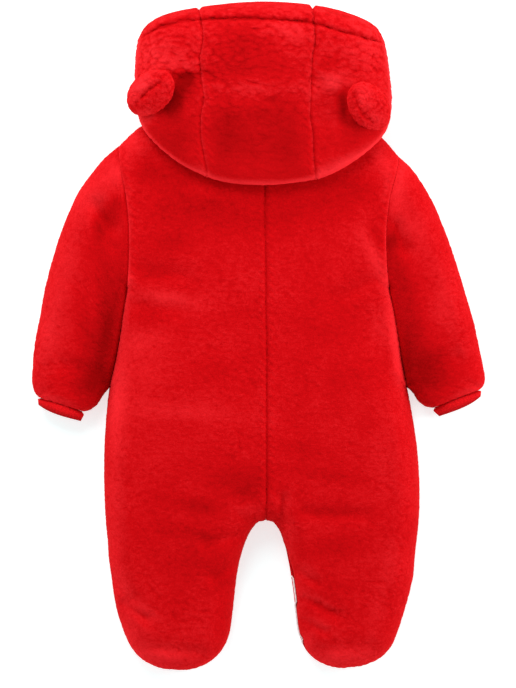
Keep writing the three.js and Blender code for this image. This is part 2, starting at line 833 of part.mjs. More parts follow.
// A closed cushion shape: its upper face is a dome creased along its length, and its lower face
// a shallower dome, lifted clear of the hood where that is higher.
function ear(row) {
  const rings = 7;
  const spokes = 18;
  const turn = THREE.MathUtils.degToRad(row.turn);
  const lengthwise = new THREE.Vector2(Math.cos(turn), Math.sin(turn));
  const sideways = new THREE.Vector2(-Math.sin(turn), Math.cos(turn));
  const positions = [];
  const place = (ring, spoke, upper) => {
    const tilt = (Math.PI / 2) * (ring / rings);
    const angle = (2 * Math.PI * spoke) / spokes;
    const along = Math.sin(tilt) * Math.cos(angle);
    const aside = Math.sin(tilt) * Math.sin(angle);
    const x = row.x + (row.length / 2) * along * lengthwise.x + (row.width / 2) * aside * sideways.x;
    const y = row.y + (row.length / 2) * along * lengthwise.y + (row.width / 2) * aside * sideways.y;
    const middle = row.middle + row.slope * (x - row.x);
    const swell = Math.cos(tilt);
    const seated = hoodTop(x, y) + 2 * seamGap;
    const onHood = nearness([hoodSides], x, y).distance > 0 && insideHood(x, y);
    const lowest = middle - (earRise - 2) * swell;
    const low = onHood ? Math.max(lowest, seated) : lowest;
    const crease = earCrease * Math.exp(-((aside / 0.22) ** 2)) * swell;
    const high = Math.max(middle + earRise * swell - crease, low + 2 * swell);
    positions.push(x, y, upper ? high : low);
  };
  place(0, 0, true);
  for (let ring = 1; ring <= rings; ring++) {
    for (let spoke = 0; spoke < spokes; spoke++) place(ring, spoke, true);
  }
  for (let ring = rings - 1; ring >= 1; ring--) {
    for (let spoke = 0; spoke < spokes; spoke++) place(ring, spoke, false);
  }
  place(0, 0, false);
  const bands = 2 * rings - 1;
  const last = 1 + bands * spokes;
  const index = [];
  for (let spoke = 0; spoke < spokes; spoke++) {
    const next = (spoke + 1) % spokes;
    index.push(0, 1 + spoke, 1 + next);
    for (let band = 0; band < bands - 1; band++) {
      const here = 1 + band * spokes;
      const below = here + spokes;
      index.push(here + spoke, below + spoke, below + next);
      index.push(here + spoke, below + next, here + next);
    }
    const bottom = 1 + (bands - 1) * spokes;
    index.push(bottom + spoke, last, bottom + next);
  }
  const geometry = new THREE.BufferGeometry();
  geometry.setAttribute("position", new THREE.Float32BufferAttribute(positions, 3));
  geometry.setIndex(index);
  geometry.computeVertexNormals();
  return mesh(row.name, geometry, colours.ear);
}

function insideHood(x, y) {
  const ring = [...hoodLine, ...[...brimSlope].reverse()];
  let inside = false;
  for (let i = 0, j = ring.length - 1; i < ring.length; j = i++) {
    const a = ring[i];
    const b = ring[j];
    const crosses = a.y > y !== b.y > y;
    if (crosses && x < ((b.x - a.x) * (y - a.y)) / (b.y - a.y) + a.x) inside = !inside;
  }
  return inside;
}

// The tape lies on the front's rim, a strip that follows the right inseam.
function placketTape() {
  const steps = 12;
  const positions = [];
  for (let i = 0; i <= steps; i++) {
    const station = placket.from + ((placket.to - placket.from) * i) / steps;
    const edge = halves.right.innerAt(station);
    for (const [out, up] of [[0, 0], [1, 0], [1, 1], [0, 1]]) {
      const x = edge.x + placket.edge + out * placket.width;
      positions.push(x, edge.y, sideSeam + up * placket.thickness);
    }
  }
  const index = [0, 2, 1, 0, 3, 2];
  for (let i = 0; i < steps; i++) {
    for (let k = 0; k < 4; k++) {
      const a = 4 * i + k;
      const b = 4 * i + ((k + 1) % 4);
      index.push(a, b, b + 4, a, b + 4, a + 4);
    }
  }
  const end = 4 * steps;
  index.push(end, end + 1, end + 2, end, end + 2, end + 3);
  const geometry = new THREE.BufferGeometry();
  geometry.setAttribute("position", new THREE.Float32BufferAttribute(positions, 3));
  geometry.setIndex(index);
  geometry.computeVertexNormals();
  return mesh("placket_tape", geometry, colours.tape, 0.8);
}

const romper = new THREE.Group();
for (const side of ["left", "right"]) {
  romper.add(bodyPanel(side, "back"), bodyPanel(side, "front"));
  romper.add(sleeve(side), cuff(side), hoodSide(side));
}
romper.add(hoodCentre(), placketTape());
for (const row of ears) romper.add(ear(row));

export default romper;
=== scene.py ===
import bpy
import numpy as np
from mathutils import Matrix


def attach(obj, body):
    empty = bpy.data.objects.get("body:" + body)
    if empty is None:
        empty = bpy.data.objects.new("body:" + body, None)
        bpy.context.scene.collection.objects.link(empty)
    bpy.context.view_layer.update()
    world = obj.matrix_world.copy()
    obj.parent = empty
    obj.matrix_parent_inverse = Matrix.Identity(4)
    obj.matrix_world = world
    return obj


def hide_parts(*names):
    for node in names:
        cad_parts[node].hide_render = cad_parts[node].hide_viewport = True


# A hooded plush romper laid flat on its front. Lengths are in millimetres until the meshes are made.
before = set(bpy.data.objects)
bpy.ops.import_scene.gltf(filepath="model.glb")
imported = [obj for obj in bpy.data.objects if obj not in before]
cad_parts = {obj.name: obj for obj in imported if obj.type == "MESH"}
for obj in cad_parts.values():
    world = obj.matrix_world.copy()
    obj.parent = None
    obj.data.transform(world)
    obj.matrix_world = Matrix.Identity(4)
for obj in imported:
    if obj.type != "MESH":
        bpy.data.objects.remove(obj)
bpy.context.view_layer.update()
metre = 0.001  # one millimetre in Blender's metres
print("frame loaded:", len(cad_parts), "nodes")

# Sizes of the cut, as the CAD source has them
cut = {
    "cloth": 3.0,       # padded plush
    "ribbing": 2.0,     # cuffs
    "seamGap": 0.3,
    "pileGap": -0.9,    # between a sleeve and the side it lies against, where the pile meets
    "gapBlend": 0.2,    # from how far below the armpit, in stations
    "sideSeam": 15.0,   # height of the side seams
    "underRound": 12.0,
    "armpit": 6,        # body stations where the sleeve, its end and the legs part
    "cuffMeets": 10,
    "crotch": 15,
    "archRise": 2.2,    # how far the crotch is rounder than straight lines between its points
    "crevice": [31, 30, 27, 21, 15],  # height of the pile between body and sleeve by station
    "cuffEdge": 23,     # height of a sleeve's end
    "liningLow": 0.2,   # how far above the floor the inner walls stay
}
# How far the cloth rounds away from each edge until it is at its full height
edgeReach = {"shoulder": 26, "sleeve": 25, "sleeveInner": 17, "leg": 28, "beside": 13, "cuff": 12}
neckSide = {"left": [-65, 250], "right": [74, 249]}

# Each station crosses one half of the body: side x, y, then centre seam or inseam x, y
bodyStations = {
    "left": [
        [-154, 209, 6, 239], [-153, 196, 7, 216], [-150, 178, 7, 189], [-145, 151, 7, 156],
        [-142, 119, 7, 121], [-142, 86, 8, 86], [-144, 53, 8, 51], [-148, 31, 8, 27],
        [-152, 3, 9, -2], [-158, -29, 9, -33], [-164, -55, 9, -59], [-168, -92, 9, -92],
        [-170, -130, 9, -127], [-170, -162, 9, -160], [-169, -189, 9, -184], [-168, -206, 8, -202],
        [-166, -226, -6, -210], [-165, -244, -15, -227], [-162, -264, -22, -251],
        [-159, -286, -26, -278], [-155, -305, -29, -305], [-149, -323, -32, -326],
        [-142, -339, -39, -343], [-131, -353, -51, -356], [-116, -362, -66, -364],
        [-102, -366, -80, -367],
    ],
    "right": [
        [154, 198, 6, 239], [153, 189, 7, 216], [150, 176, 7, 189], [144, 153, 7, 156],
        [140, 119, 7, 121], [140, 86, 8, 86], [143, 53, 8, 51], [148, 31, 8, 27],
        [153, 3, 9, -2], [158, -29, 9, -33], [163, -55, 9, -59], [170, -92, 9, -92],
        [175, -130, 9, -127], [177, -162, 9, -160], [177, -189, 9, -184], [176, -206, 8, -202],
        [174, -224, 20, -209], [172, -242, 28, -227], [170, -264, 34, -253],
        [165, -286, 38, -279], [160, -303, 41, -304], [154, -322, 44, -325],
        [146, -341, 52, -345], [133, -354, 63, -356], [117, -361, 76, -362],
        [103, -364, 89, -365],
    ],
}

# Each ring crosses a sleeve: outer x, y, then the body station it lies beside
sleeveRings = {
    "left": {
        "beside": [
            [-154, 209, 6], [-170, 196, 6.12], [-184, 179, 6.35], [-198, 159, 6.65],
            [-209, 136, 7], [-219, 110, 7.45], [-227, 84, 7.95], [-235, 53, 8.5],
            [-241, 20, 9.05], [-247, -13, 9.6], [-249, -39, 10],
        ],
        "free": [  # outer x, y and inner x, y past the body's side
            [-249, -52, -171.5, -65], [-246.5, -61, -178, -75], [-243.5, -65, -186, -81],
            [-241, -67, -193, -82.5],
        ],
    },
    "right": {
        "beside": [
            [154, 198, 6], [168, 185, 6.12], [180, 168, 6.3], [193, 145, 6.6],
            [203, 121, 6.95], [212, 97, 7.4], [220, 72, 7.9], [229, 42, 8.45],
            [237, 15, 9], [243, -14, 9.55], [248, -37, 10],
        ],
        "free": [
            [249, -46, 170, -62], [248, -53, 176, -71], [245.5, -56.5, 184, -77],
            [243, -58.5, 192, -78.5],
        ],
    },
}
cuffEnd = {"left": [[-240.5, -76], [-198, -92.5]], "right": [[242.5, -67], [201, -87]]}

shoulders = {
    "left": [neckSide["left"], [-100, 242], [-131, 230], [-154, 209]],
    "right": [neckSide["right"], [104, 238], [133, 221], [154, 198]],
}
backNeck = {
    "left": [neckSide["left"], [-38, 242], [6, 239]],
    "right": [neckSide["right"], [46, 242], [6, 239]],
}
frontNeck = {
    "left": [neckSide["left"], [-47, 240], [-30, 232], [-12, 227.5], [6, 226]],
    "right": [neckSide["right"], [57, 239], [41, 231.5], [24, 227.5], [6, 226]],
}

# Height of the puffed cloth far from every edge: x, y, height
bodyCrown = [
    [0, 225, 34], [-105, 200, 34], [105, 195, 34], [-85, 110, 43], [90, 110, 43], [0, 20, 46],
    [-85, -90, 50], [95, -90, 50], [-110, -200, 48], [120, -200, 48], [-95, -290, 44],
    [100, -290, 44], [-88, -335, 41], [96, -335, 41], [-185, 130, 41], [182, 118, 41],
    [-200, 45, 42], [198, 40, 42], [-208, -30, 33], [206, -25, 33],
]
crownSpread = {"body": 60, "hood": 55}

# The largest folds: from x, y, to x, y, width, depth
bodyFolds = [
    [-177, 143, -163, 120, 10, 8], [150, 122, 160, 96, 9, 6], [-128, 75, -80, 66, 12, 3],
    [-132, 34, -88, 30, 12, 3], [132, 66, 84, 40, 12, 3], [26, -176, 28, -204, 7, 4],
    [52, -192, 112, -196, 9, 2], [-58, -226, -24, -218, 9, 3], [-48, -264, -26, -249, 8, 4],
    [-160, -266, -138, -288, 8, 4], [-148, -293, -122, -308, 8, 4], [44, -258, 62, -268, 7, 4],
    [52, -288, 86, -304, 9, 4], [50, -312, 72, -322, 8, 3], [-118, -340, -66, -346, 9, 3],
    [70, -342, 120, -340, 9, 3], [-214, -30, -176, -38, 9, 4], [216, -22, 176, -34, 9, 4],
]

# The hood's outline from one corner of the brim over the back to the other: x, y, height, reach
hoodOutline = [
    [-132, 326, 24, 40], [-135, 305, 25, 44], [-136, 280, 26, 44], [-135, 252, 28, 40],
    [-128, 229, 36, 30], [-114, 211, 43, 24], [-91, 191, 46, 20], [-66, 177, 46, 20],
    [-40, 168, 46, 20], [5, 164, 46, 20], [50, 168, 46, 20], [72, 173, 46, 20],
    [96, 185, 46, 20], [119, 201, 44, 24], [138, 221, 39, 28], [145, 240, 30, 38],
    [146, 262, 27, 44], [144, 284, 26, 44], [141, 308, 25, 42], [138, 324, 24, 40],
]
brim = [[-132, 326], [-124, 340], [-105, 352], [-64, 361], [0, 367], [62, 363], [100, 354],
        [128, 340], [138, 324]]
brimSet = {"high": 24, "dip": 12, "droop": 5, "reach": 46,
           "blend": 0.3}  # how far down the gusset seam the rows still bend with the brim
gussetCorners = {"brim": [-65, 59], "neck": [-38, 46]}
# How far each gusset seam wanders: share of its length from the brim, and aside
gussetWander = {
    "left": [[0, 0], [0.08, 2.1], [0.15, 3.4], [0.21, 2.1], [0.3, -1.6], [0.41, -0.9], [0.53, 0.8],
             [0.64, -3.6], [0.75, -4.5], [0.84, -2.7], [0.97, 0.5], [1, 0]],
    "right": [[0, 0], [0.11, 1.4], [0.19, 1.9], [0.29, -1.5], [0.41, -3.3], [0.52, -4.0], [0.63, -5.2],
              [0.73, -2.6], [0.86, -2.2], [1, 0]],
}
foldStation = {"left": 7.4, "right": 10.55}
hoodCrown = [
    [0, 325, 61], [0, 275, 67], [0, 220, 62], [-90, 290, 63], [95, 285, 63], [-85, 225, 60],
    [90, 220, 60], [0, 190, 59],
]
hoodFolds = [[-92, 282, -60, 286, 8, 3], [-30, 262, 35, 258, 14, 2], [84, 262, 60, 275, 8, 3]]

outward = {"left": -1, "right": 1}
sides = ("left", "right")


# A centripetal Catmull-Rom curve through points, read by point number: each span is a cubic
# whose end slopes weigh the neighbouring chords by the square roots of their lengths.
def curveThrough(points):
    known = np.zeros((len(points), 3))
    known[:, :len(points[0])] = np.array(points, float)
    ends = [2 * known[:1] - known[1:2], known, 2 * known[-1:] - known[-2:-1]]
    padded = np.vstack(ends)

    def at(station):
        station = np.asarray(station, float)
        span = np.clip(np.floor(station).astype(int), 0, len(known) - 2)
        t = (station - span)[..., None]
        p0, p1, p2, p3 = (padded[span + k] for k in range(4))
        d0, d1, d2 = (((b - a) ** 2).sum(-1, keepdims=True) ** 0.25
                      for a, b in ((p0, p1), (p1, p2), (p2, p3)))
        m1 = ((p1 - p0) / d0 - (p2 - p0) / (d0 + d1) + (p2 - p1) / d1) * d1
        m2 = ((p2 - p1) / d1 - (p3 - p1) / (d1 + d2) + (p3 - p2) / d2) * d1
        bend = 3 * (p2 - p1) - 2 * m1 - m2 + t * (2 * (p1 - p2) + m1 + m2)
        return p1 + t * (m1 + t * bend)

    return at


def sampled(points, perPoint=4):
    count = (len(points) - 1) * perPoint
    return curveThrough(points)(np.arange(count + 1) / perPoint)


# A quarter of an ellipse: 0 at t = 0, upright there, and level at 1
def quarterRound(t):
    return np.sqrt(1 - (1 - np.clip(t, 0, 1)) ** 2)


def smoothStep(t):
    t = np.clip(t, 0, 1)
    return t * t * (3 - 2 * t)


halves = {}
for side in sides:
    rows = np.array(bodyStations[side], float)
    halves[side] = {
        "rows": rows,
        "sideAt": curveThrough(rows[:, :2]),
        "centreBack": curveThrough(rows[:cut["crotch"] + 1, 2:]),
        "inseam": curveThrough(rows[cut["crotch"]:, 2:]),
    }


def innerAt(side, station):
    half = halves[side]
    onBack = half["centreBack"](np.minimum(station, cut["crotch"]))
    onLeg = half["inseam"](np.maximum(station - cut["crotch"], 0))
    onLeg[..., 1] += cut["archRise"] * np.sin(np.pi * np.clip(station - cut["crotch"], 0, 1))
    return np.where((station <= cut["crotch"])[..., None], onBack, onLeg)


# The sleeve's inner edge by ring number: beside the body, then curving off to the cuff
def sleeveInner(side, ring):
    beside = np.array(sleeveRings[side]["beside"], float)
    last = len(beside) - 1
    station = np.interp(ring, np.arange(last + 1), beside[:, 2])
    along = halves[side]["sideAt"](station)
    gap = cut["pileGap"] * smoothStep((station - cut["armpit"]) / cut["gapBlend"])
    along[..., 0] += outward[side] * gap
    meet = halves[side]["sideAt"](beside[-1, 2])[:2] + [outward[side] * cut["pileGap"], 0]
    free = curveThrough([meet] + [row[2:] for row in sleeveRings[side]["free"]])
    return np.where((ring <= last)[..., None], along, free(np.maximum(ring - last, 0)))


def sleeveOuterPoints(side):
    rings = sleeveRings[side]
    return [row[:2] for row in rings["beside"]] + [row[:2] for row in rings["free"]]


# An edge of the cloth: a line, level where a height is given, and the reach of its rounding
def edgeLine(line, reach, height=None):
    line = np.array(line)
    if height is not None:
        line[:, 2] = height
    return {"line": line, "reach": np.full(len(line), float(reach))}


seamedEdges, bodyEdges = [], []
for side in sides:
    rows = halves[side]["rows"]
    outer = sleeveOuterPoints(side)
    sleeveEnd = sleeveInner(side, np.arange(cut["cuffMeets"], len(outer), dtype=float))[:, :2]
    legRound = np.vstack([rows[cut["cuffMeets"]:, :2], rows[cut["crotch"]:, 2:][::-1]])
    beside = rows[cut["armpit"]:cut["cuffMeets"] + 1, :2]
    raised = sampled(np.column_stack([beside, cut["crevice"]]).tolist())
    kinds = {"shoulder": shoulders[side], "sleeve": outer, "sleeveInner": sleeveEnd, "leg": legRound}
    outerEdges = [edgeLine(sampled(line), edgeReach[kind], cut["sideSeam"])
                  for kind, line in kinds.items()]
    seamedEdges += [*outerEdges, edgeLine(sampled(beside), edgeReach["beside"], cut["sideSeam"])]
    bodyEdges += [
        *outerEdges,
        edgeLine(raised, edgeReach["beside"]),
        edgeLine(sampled([outer[-1], sleeveEnd[-1]], 1), edgeReach["cuff"], cut["cuffEdge"]),
    ]

middle = np.sin(np.pi * np.arange(len(brim)) / (len(brim) - 1))
brimSlope = np.column_stack([brim, brimSet["high"] - brimSet["dip"] * middle])
brimSlope[:, 1] += brimSet["droop"] * middle
hoodLine = sampled([row[:3] for row in hoodOutline])
hoodReach = sampled([[row[0], row[1], row[3]] for row in hoodOutline])[:, 2]
hoodSides = {"line": hoodLine, "reach": hoodReach}
hoodEdges = [edgeLine(sampled(brimSlope.tolist()), brimSet["reach"]), hoodSides]


# The nearest place on a line: part = ((p - a) . (b - a)) / |b - a|^2 held to 0..1 on each
# stretch, and the stretch with the least distance for its reach.
def nearestOn(edge, x, y):
    line, reach = edge["line"], edge["reach"]
    found = []
    parts = max(len(x) // 20000, 1)  # so many points at a time
    for px, py in zip(np.array_split(x, parts), np.array_split(y, parts)):
        a, d = line[:-1], line[1:] - line[:-1]
        ax, ay = px[:, None] - a[:, 0], py[:, None] - a[:, 1]
        part = np.clip((ax * d[:, 0] + ay * d[:, 1]) / (d[:, :2] ** 2).sum(1), 0, 1)
        gap = np.hypot(ax - part * d[:, 0], ay - part * d[:, 1])
        share = gap / (reach[:-1] + part * (reach[1:] - reach[:-1]))
        best = share.argmin(1)
        row = np.arange(len(px))
        height = a[best, 2] + part[row, best] * d[best, 2]
        found.append([share[row, best], gap[row, best], height])
    return np.concatenate(found, axis=1)


# share is 0 on an edge and 1 where its rounding ends, and height is the mean of the edges'
# heights, each weighted by 1 / share^2.
def nearness(edges, x, y):
    found = np.array([nearestOn(edge, x, y) for edge in edges])
    weight = 1 / (found[:, 0] ** 2 + 1e-6)
    height = (weight * found[:, 2]).sum(0) / weight.sum(0)
    return found[:, 0].min(0), found[:, 1].min(0), height


# A mean of the crown points' heights, each weighted by exp(-(distance / spread)^2)
def crownHeight(crown, spread, x, y):
    weights = heights = 0
    for crownX, crownY, crownZ in crown:
        weight = np.exp(-((x - crownX) ** 2 + (y - crownY) ** 2) / spread ** 2) + 1e-6
        weights = weights + weight
        heights = heights + weight * crownZ
    return heights / weights


# Troughs depth * exp(-(distance / width)^2) from the line between two points
def foldDepth(folds, x, y):
    depth = np.zeros_like(x)
    for ax, ay, bx, by, width, deep in folds:
        dx, dy = bx - ax, by - ay
        part = np.clip(((x - ax) * dx + (y - ay) * dy) / (dx * dx + dy * dy), 0, 1)
        gap = np.hypot(x - ax - part * dx, y - ay - part * dy)
        depth += deep * np.exp(-(gap / width) ** 2)
    return depth


# Lets a height function of flat arrays take grids of any shape
def onGrid(shape):
    def heights(x, y, *rest):
        flatRest = [np.broadcast_to(value, x.shape).ravel() for value in rest]
        return shape(x.ravel(), y.ravel(), *flatRest).reshape(x.shape)
    return heights


# Finer creases than the solids carry, placed from the photograph: from x, y, to x, y, width, depth
creases = {
    "body": [
        [44, -257, 57, -266, 4.8, 1.6], [51, -286, 66, -292, 5.2, 1.6],
        [66, -292, 83, -303, 5.4, 1.5], [50, -311, 72, -322, 5.0, 1.5],
        [52, -191, 118, -194, 7.0, 0.9], [27, -180, 28, -203, 4.1, 2.1],
        [-160, -266, -142, -288, 4.9, 2.4], [-147, -292, -125, -307, 5.2, 1.5],
        [-58, -224, -23, -219, 5.6, 1.1], [-48, -262, -25, -250, 5.2, 1.3],
        [-112, -342, -62, -346, 5.4, 1.3], [-118, 72, -86, 67, 6.8, 0.8], [-128, 33, -96, 31, 6.8, 0.8],
        [128, 62, 92, 44, 6.8, 1], [150, 66, 138, 44, 5.4, 0.8], [-20, -196, -4, -206, 4.9, 1.4],
        [-172, 133, -164, 122, 5.4, 1.8], [-168, 108, -157, 96, 5.4, 1.4],
        [153, 118, 160, 98, 5.4, 1.4], [-236, -34, -190, -44, 6.8, 1],
        [236, -28, 192, -40, 6.8, 1], [-222, 66, -196, 58, 8.1, 0.8], [214, 60, 190, 50, 8.1, 0.8],
        [48, -280, 86, -297, 3.0, -1.4], [48, -305, 74, -317, 3.0, -1.2],
        [-152, -285, -124, -301, 3.4, -1.2], [-46, -255, -20, -244, 3.0, -1.0],
        [-56, -217, -20, -213, 3.6, -0.6], [30, -184, 38, -206, 4.0, -0.9],
    ],
    "hood": [
        [-91, 281, -62, 285, 4.3, 1.8], [-58, 292, 46, 290, 9.5, 0.8], [66, 280, 92, 272, 5.4, 1],
        [-46, 258, 52, 256, 8.1, 0.8], [-92, 232, -66, 230, 8.1, 0.8], [70, 232, 98, 236, 8.1, 0.8],
    ],
}

# Sewn seams lie in a groove: y and depth along each, full where share is over 1 / fades. The pile
# stands a little beside them, ridge + pucker * sin(2 pi (x * puckerTurn + y) / puckerStep).
seamLook = {"ridge": 0.5, "ridgeAway": 5.5, "ridgeWidth": 3.5, "pucker": 0.35, "puckerStep": 9.0,
            "puckerTurn": 0.83, "fades": {"body": 3, "hood": 4}}
grooves = {
    "centre": {"width": 2.0, "depth": [[-210, 2.2], [-150, 1.5], [100, 1.4], [200, 2.0]]},
    "armhole": {"width": 2.2, "depth": [[50, 0.5], [150, 0.6], [200, 1.6]]},
    "gusset": {"width": 2.4, "depth": [[160, 2.2], [200, 1.9], [230, 1.4], [265, 1.0], [300, 2.4],
                                       [345, 3.4]]},
}


def distanceTo(line, x, y):
    return nearestOn(edgeLine(line, 1), x, y)[1]


def seamGroove(kind, line, x, y):
    gap = distanceTo(line, x, y)
    look, groove = seamLook, grooves[kind]
    depth = np.interp(y, *np.array(groove["depth"]).T)
    pucker = look["pucker"] * np.sin(2 * np.pi * (x * look["puckerTurn"] + y) / look["puckerStep"])
    beside = (look["ridge"] + pucker) * np.exp(-((gap - look["ridgeAway"]) / look["ridgeWidth"]) ** 2)
    return depth * np.exp(-(gap / groove["width"]) ** 2) - beside


armholeLines, creviceLines = (
    {side: halves[side]["sideAt"](np.linspace(first, last, count)) for side in sides}
    for first, last, count in ((0, cut["armpit"], 30), (cut["armpit"], cut["cuffMeets"], 20)))
centreLine = halves["left"]["centreBack"](np.linspace(0, cut["crotch"], 40))


# The puffed height over the edges, with the share of the way in and the rise that goes with it
def puffed(edges, crown, spread, x, y):
    share, _, height = nearness(edges, x, y)
    rise = quarterRound(share)
    return share, height + (crownHeight(crown, spread, x, y) - height) * rise, rise


@onGrid
def bodyBase(x, y):
    _, top, rise = puffed(bodyEdges, bodyCrown, crownSpread["body"], x, y)
    return top - foldDepth(bodyFolds, x, y) * rise


@onGrid
def bodyTop(x, y):
    share = nearness(bodyEdges, x, y)[0]
    drop = foldDepth(creases["body"], x, y) * quarterRound(share)
    near = np.clip(share * seamLook["fades"]["body"], 0, 1)
    drop += seamGroove("centre", centreLine, x, y) * near
    for line in armholeLines.values():
        drop += seamGroove("armhole", line, x, y) * near
    return bodyBase(x, y) - drop


@onGrid
def bodyUnder(x, y):
    distance = nearness(seamedEdges, x, y)[1]
    return (cut["sideSeam"] - cut["seamGap"]) * (1 - quarterRound(distance / cut["underRound"]))


# The brim is turned and stitched: the line of stitches narrows the hem towards both corners
hem = {"groove": 3.6, "grooveWidth": 2.2, "puff": 3.0, "notch": [3.4, 5.0], "notchWidth": 2.0,
       "stitchesFrom": 0.15}  # share of a span between the points below
hemStitches = [[-131, 325], [-115, 334], [-96, 341], [-66, 345.5], [0, 346.5], [57, 342], [95, 331],
               [137, 321]]
brimCurve = sampled(brim, 8)
hemCurve = sampled(hemStitches, 8)


# The brim's edge, with a small notch at each gusset seam: depth * exp(-(distance / width)^2)
def brimAt(x):
    notches = sum(depth * np.exp(-((x - corner) / hem["notchWidth"]) ** 2)
                  for depth, corner in zip(hem["notch"], gussetCorners["brim"]))
    return np.interp(x, brimCurve[:, 0], brimCurve[:, 1]) - notches


outlineAt = curveThrough([row[:3] for row in hoodOutline])


def wander(side, over):
    places, amounts = np.array(gussetWander[side]).T
    return curveThrough(np.column_stack([places, amounts]).tolist())(
        np.interp(over, places, np.arange(len(places))))[..., 1]


def gussetSeam(side, over):
    k = sides.index(side)
    cornerX = gussetCorners["brim"][k]
    start = np.array([cornerX, brimAt(cornerX), 0.0])
    end = outlineAt(foldStation[side]) * [1, 1, 0]
    over = np.asarray(over)
    seam = start + (end - start) * over[..., None]
    seam[..., 0] += wander(side, over)
    return seam


gussetLines = {side: gussetSeam(side, np.linspace(0, 1, 40)) for side in sides}


@onGrid
def hoodTop(x, y):
    share, top, rise = puffed(hoodEdges, hoodCrown, crownSpread["hood"], x, y)
    folds = foldDepth(hoodFolds, x, y) + foldDepth(creases["hood"], x, y)
    fromBrim, fromHem = distanceTo(brimCurve, x, y), distanceTo(hemCurve, x, y)
    inHem = y > np.interp(x, hemCurve[:, 0], hemCurve[:, 1])
    stitched = hem["groove"] * np.exp(-(fromHem / hem["grooveWidth"]) ** 2)
    puff = hem["puff"] * np.sin(np.pi * fromBrim / (fromBrim + fromHem + 1e-6)) * inHem
    near = np.clip(share * seamLook["fades"]["hood"], 0, 1)
    seams = sum(seamGroove("gusset", line, x, y) for line in gussetLines.values())
    return top - folds * rise - stitched * near + puff * near - seams * near


shoulderRun = np.vstack([
    np.array(sleeveRings["left"]["beside"])[1:5, :2][::-1],
    np.array(shoulders["left"])[::-1],
    np.array(shoulders["right"]),
    np.array(sleeveRings["right"]["beside"])[1:5, :2],
])
# How the hood lies: over the shoulder's edge by overlap, on a round of this crown and reach, with
# its lower face clear of what is below, and rising to the fold within this distance of it
hoodLay = {"overlap": 4, "crown": 34, "reach": 26, "clear": 2, "fold": 10}
shoulderEdge = edgeLine(sampled(shoulderRun.tolist()), hoodLay["reach"], cut["sideSeam"])


# What the hood lies on: the back, or a round over the shoulder's edge
@onGrid
def underHood(x, y):
    distance = nearestOn(shoulderEdge, x, y)[1]
    inside = y <= np.interp(x, shoulderRun[:, 0], shoulderRun[:, 1])
    past = np.where(inside, distance, -distance) + hoodLay["overlap"]
    low = cut["sideSeam"] * np.sqrt(np.maximum(1 - (past / cut["underRound"]) ** 2, 0))
    rise = quarterRound(past / hoodLay["reach"])
    high = cut["sideSeam"] + (hoodLay["crown"] - cut["sideSeam"]) * rise
    edge = np.where(past < 0, low, high)
    return np.where(inside & (past >= 0), np.maximum(edge, bodyBase(x, y)), edge)


@onGrid
def hoodUnder(x, y, rest):
    _, distance, height = nearness([hoodSides], x, y)
    return rest + np.maximum(height - rest, 0) * (1 - quarterRound(distance / hoodLay["fold"]))


# Seeded noise: a whole-number hash of each lattice cell, where large primes mix the bits
def hashed(cell, seed):
    wrapped = cell.astype(np.int64)
    mixed = wrapped[..., 0] * 73856093 ^ wrapped[..., 1] * 19349663 ^ wrapped[..., 2] * 83492791
    mixed = (mixed ^ (seed * 668265263)) & 0x7FFFFFFF
    mixed = ((mixed >> 13 ^ mixed) * 1274126177) & 0x7FFFFFFF
    mixed = ((mixed >> 15 ^ mixed) * 668265263) & 0x7FFFFFFF
    return (mixed >> 8 & 0xFFFF) / 65535.0


# Value noise: the hashes at a cell's eight corners, blended by smooth steps, from 0 to 1
def valueNoise(points, size, seed):
    place = points / size
    cell = np.floor(place)
    t = smoothStep(place - cell)
    total = 0
    for corner in np.ndindex(2, 2, 2):
        weight = np.prod(np.where(np.array(corner) == 1, t, 1 - t), axis=-1)
        total = total + weight * hashed(cell + corner, seed)
    return total


# Tufts: 1 at a jittered point of each cell, falling as 1 - distance^2, with the cells warped
def tufts(points, size, seed, warp=0.45):
    bent = [valueNoise(points, size * 1.7, seed + k) - 0.5 for k in (11, 12, 13)]
    place = points / size + np.stack(bent, -1) * 2 * warp
    cell = np.floor(place)
    nearest = np.full(points.shape[:-1], 9.0)
    for offset in np.ndindex(3, 3, 3):
        other = cell + np.array(offset) - 1
        jitter = np.stack([hashed(other, seed + k) for k in (1, 2, 3)], -1)
        gap = ((other + jitter - place) ** 2).sum(-1)
        nearest = np.minimum(nearest, gap)
    return 1 - np.clip(nearest, 0, 1)


# The pile on each part: tuft size and height, how long the tufts are for their height, how far
# the nap leans down the garment, and how full the curls are at which y
pile = {
    "body": {"tuft": 4.0, "height": 0.6, "fine": 2.4, "fineHeight": 0.4, "long": 1.3, "lean": 0.5,
             "curl": [[0, 1]], "seed": 21},
    "hood": {"tuft": 5.0, "height": 1.5, "fine": 2.6, "fineHeight": 0.7, "long": 1.7, "lean": 0.8,
             "curl": [[175, 0.3], [230, 0.5], [262, 0.85], [330, 1.15]], "seed": 41},
    "ear": {"tuft": 4.4, "height": 1.6, "fine": 2.2, "fineHeight": 0.8, "long": 1.2, "lean": 0.4,
            "curl": [[0, 1]], "seed": 61},
}
pileSunk = 0.75  # share of the tufts' height that stands inside the cloth's own form
pilePatch = {"size": 30.0, "least": 0.7, "more": 0.6}  # curls are fuller in some places
tuftPaintedShade = {"coarse": 0.6, "fine": 0.4, "middle": 0.62}
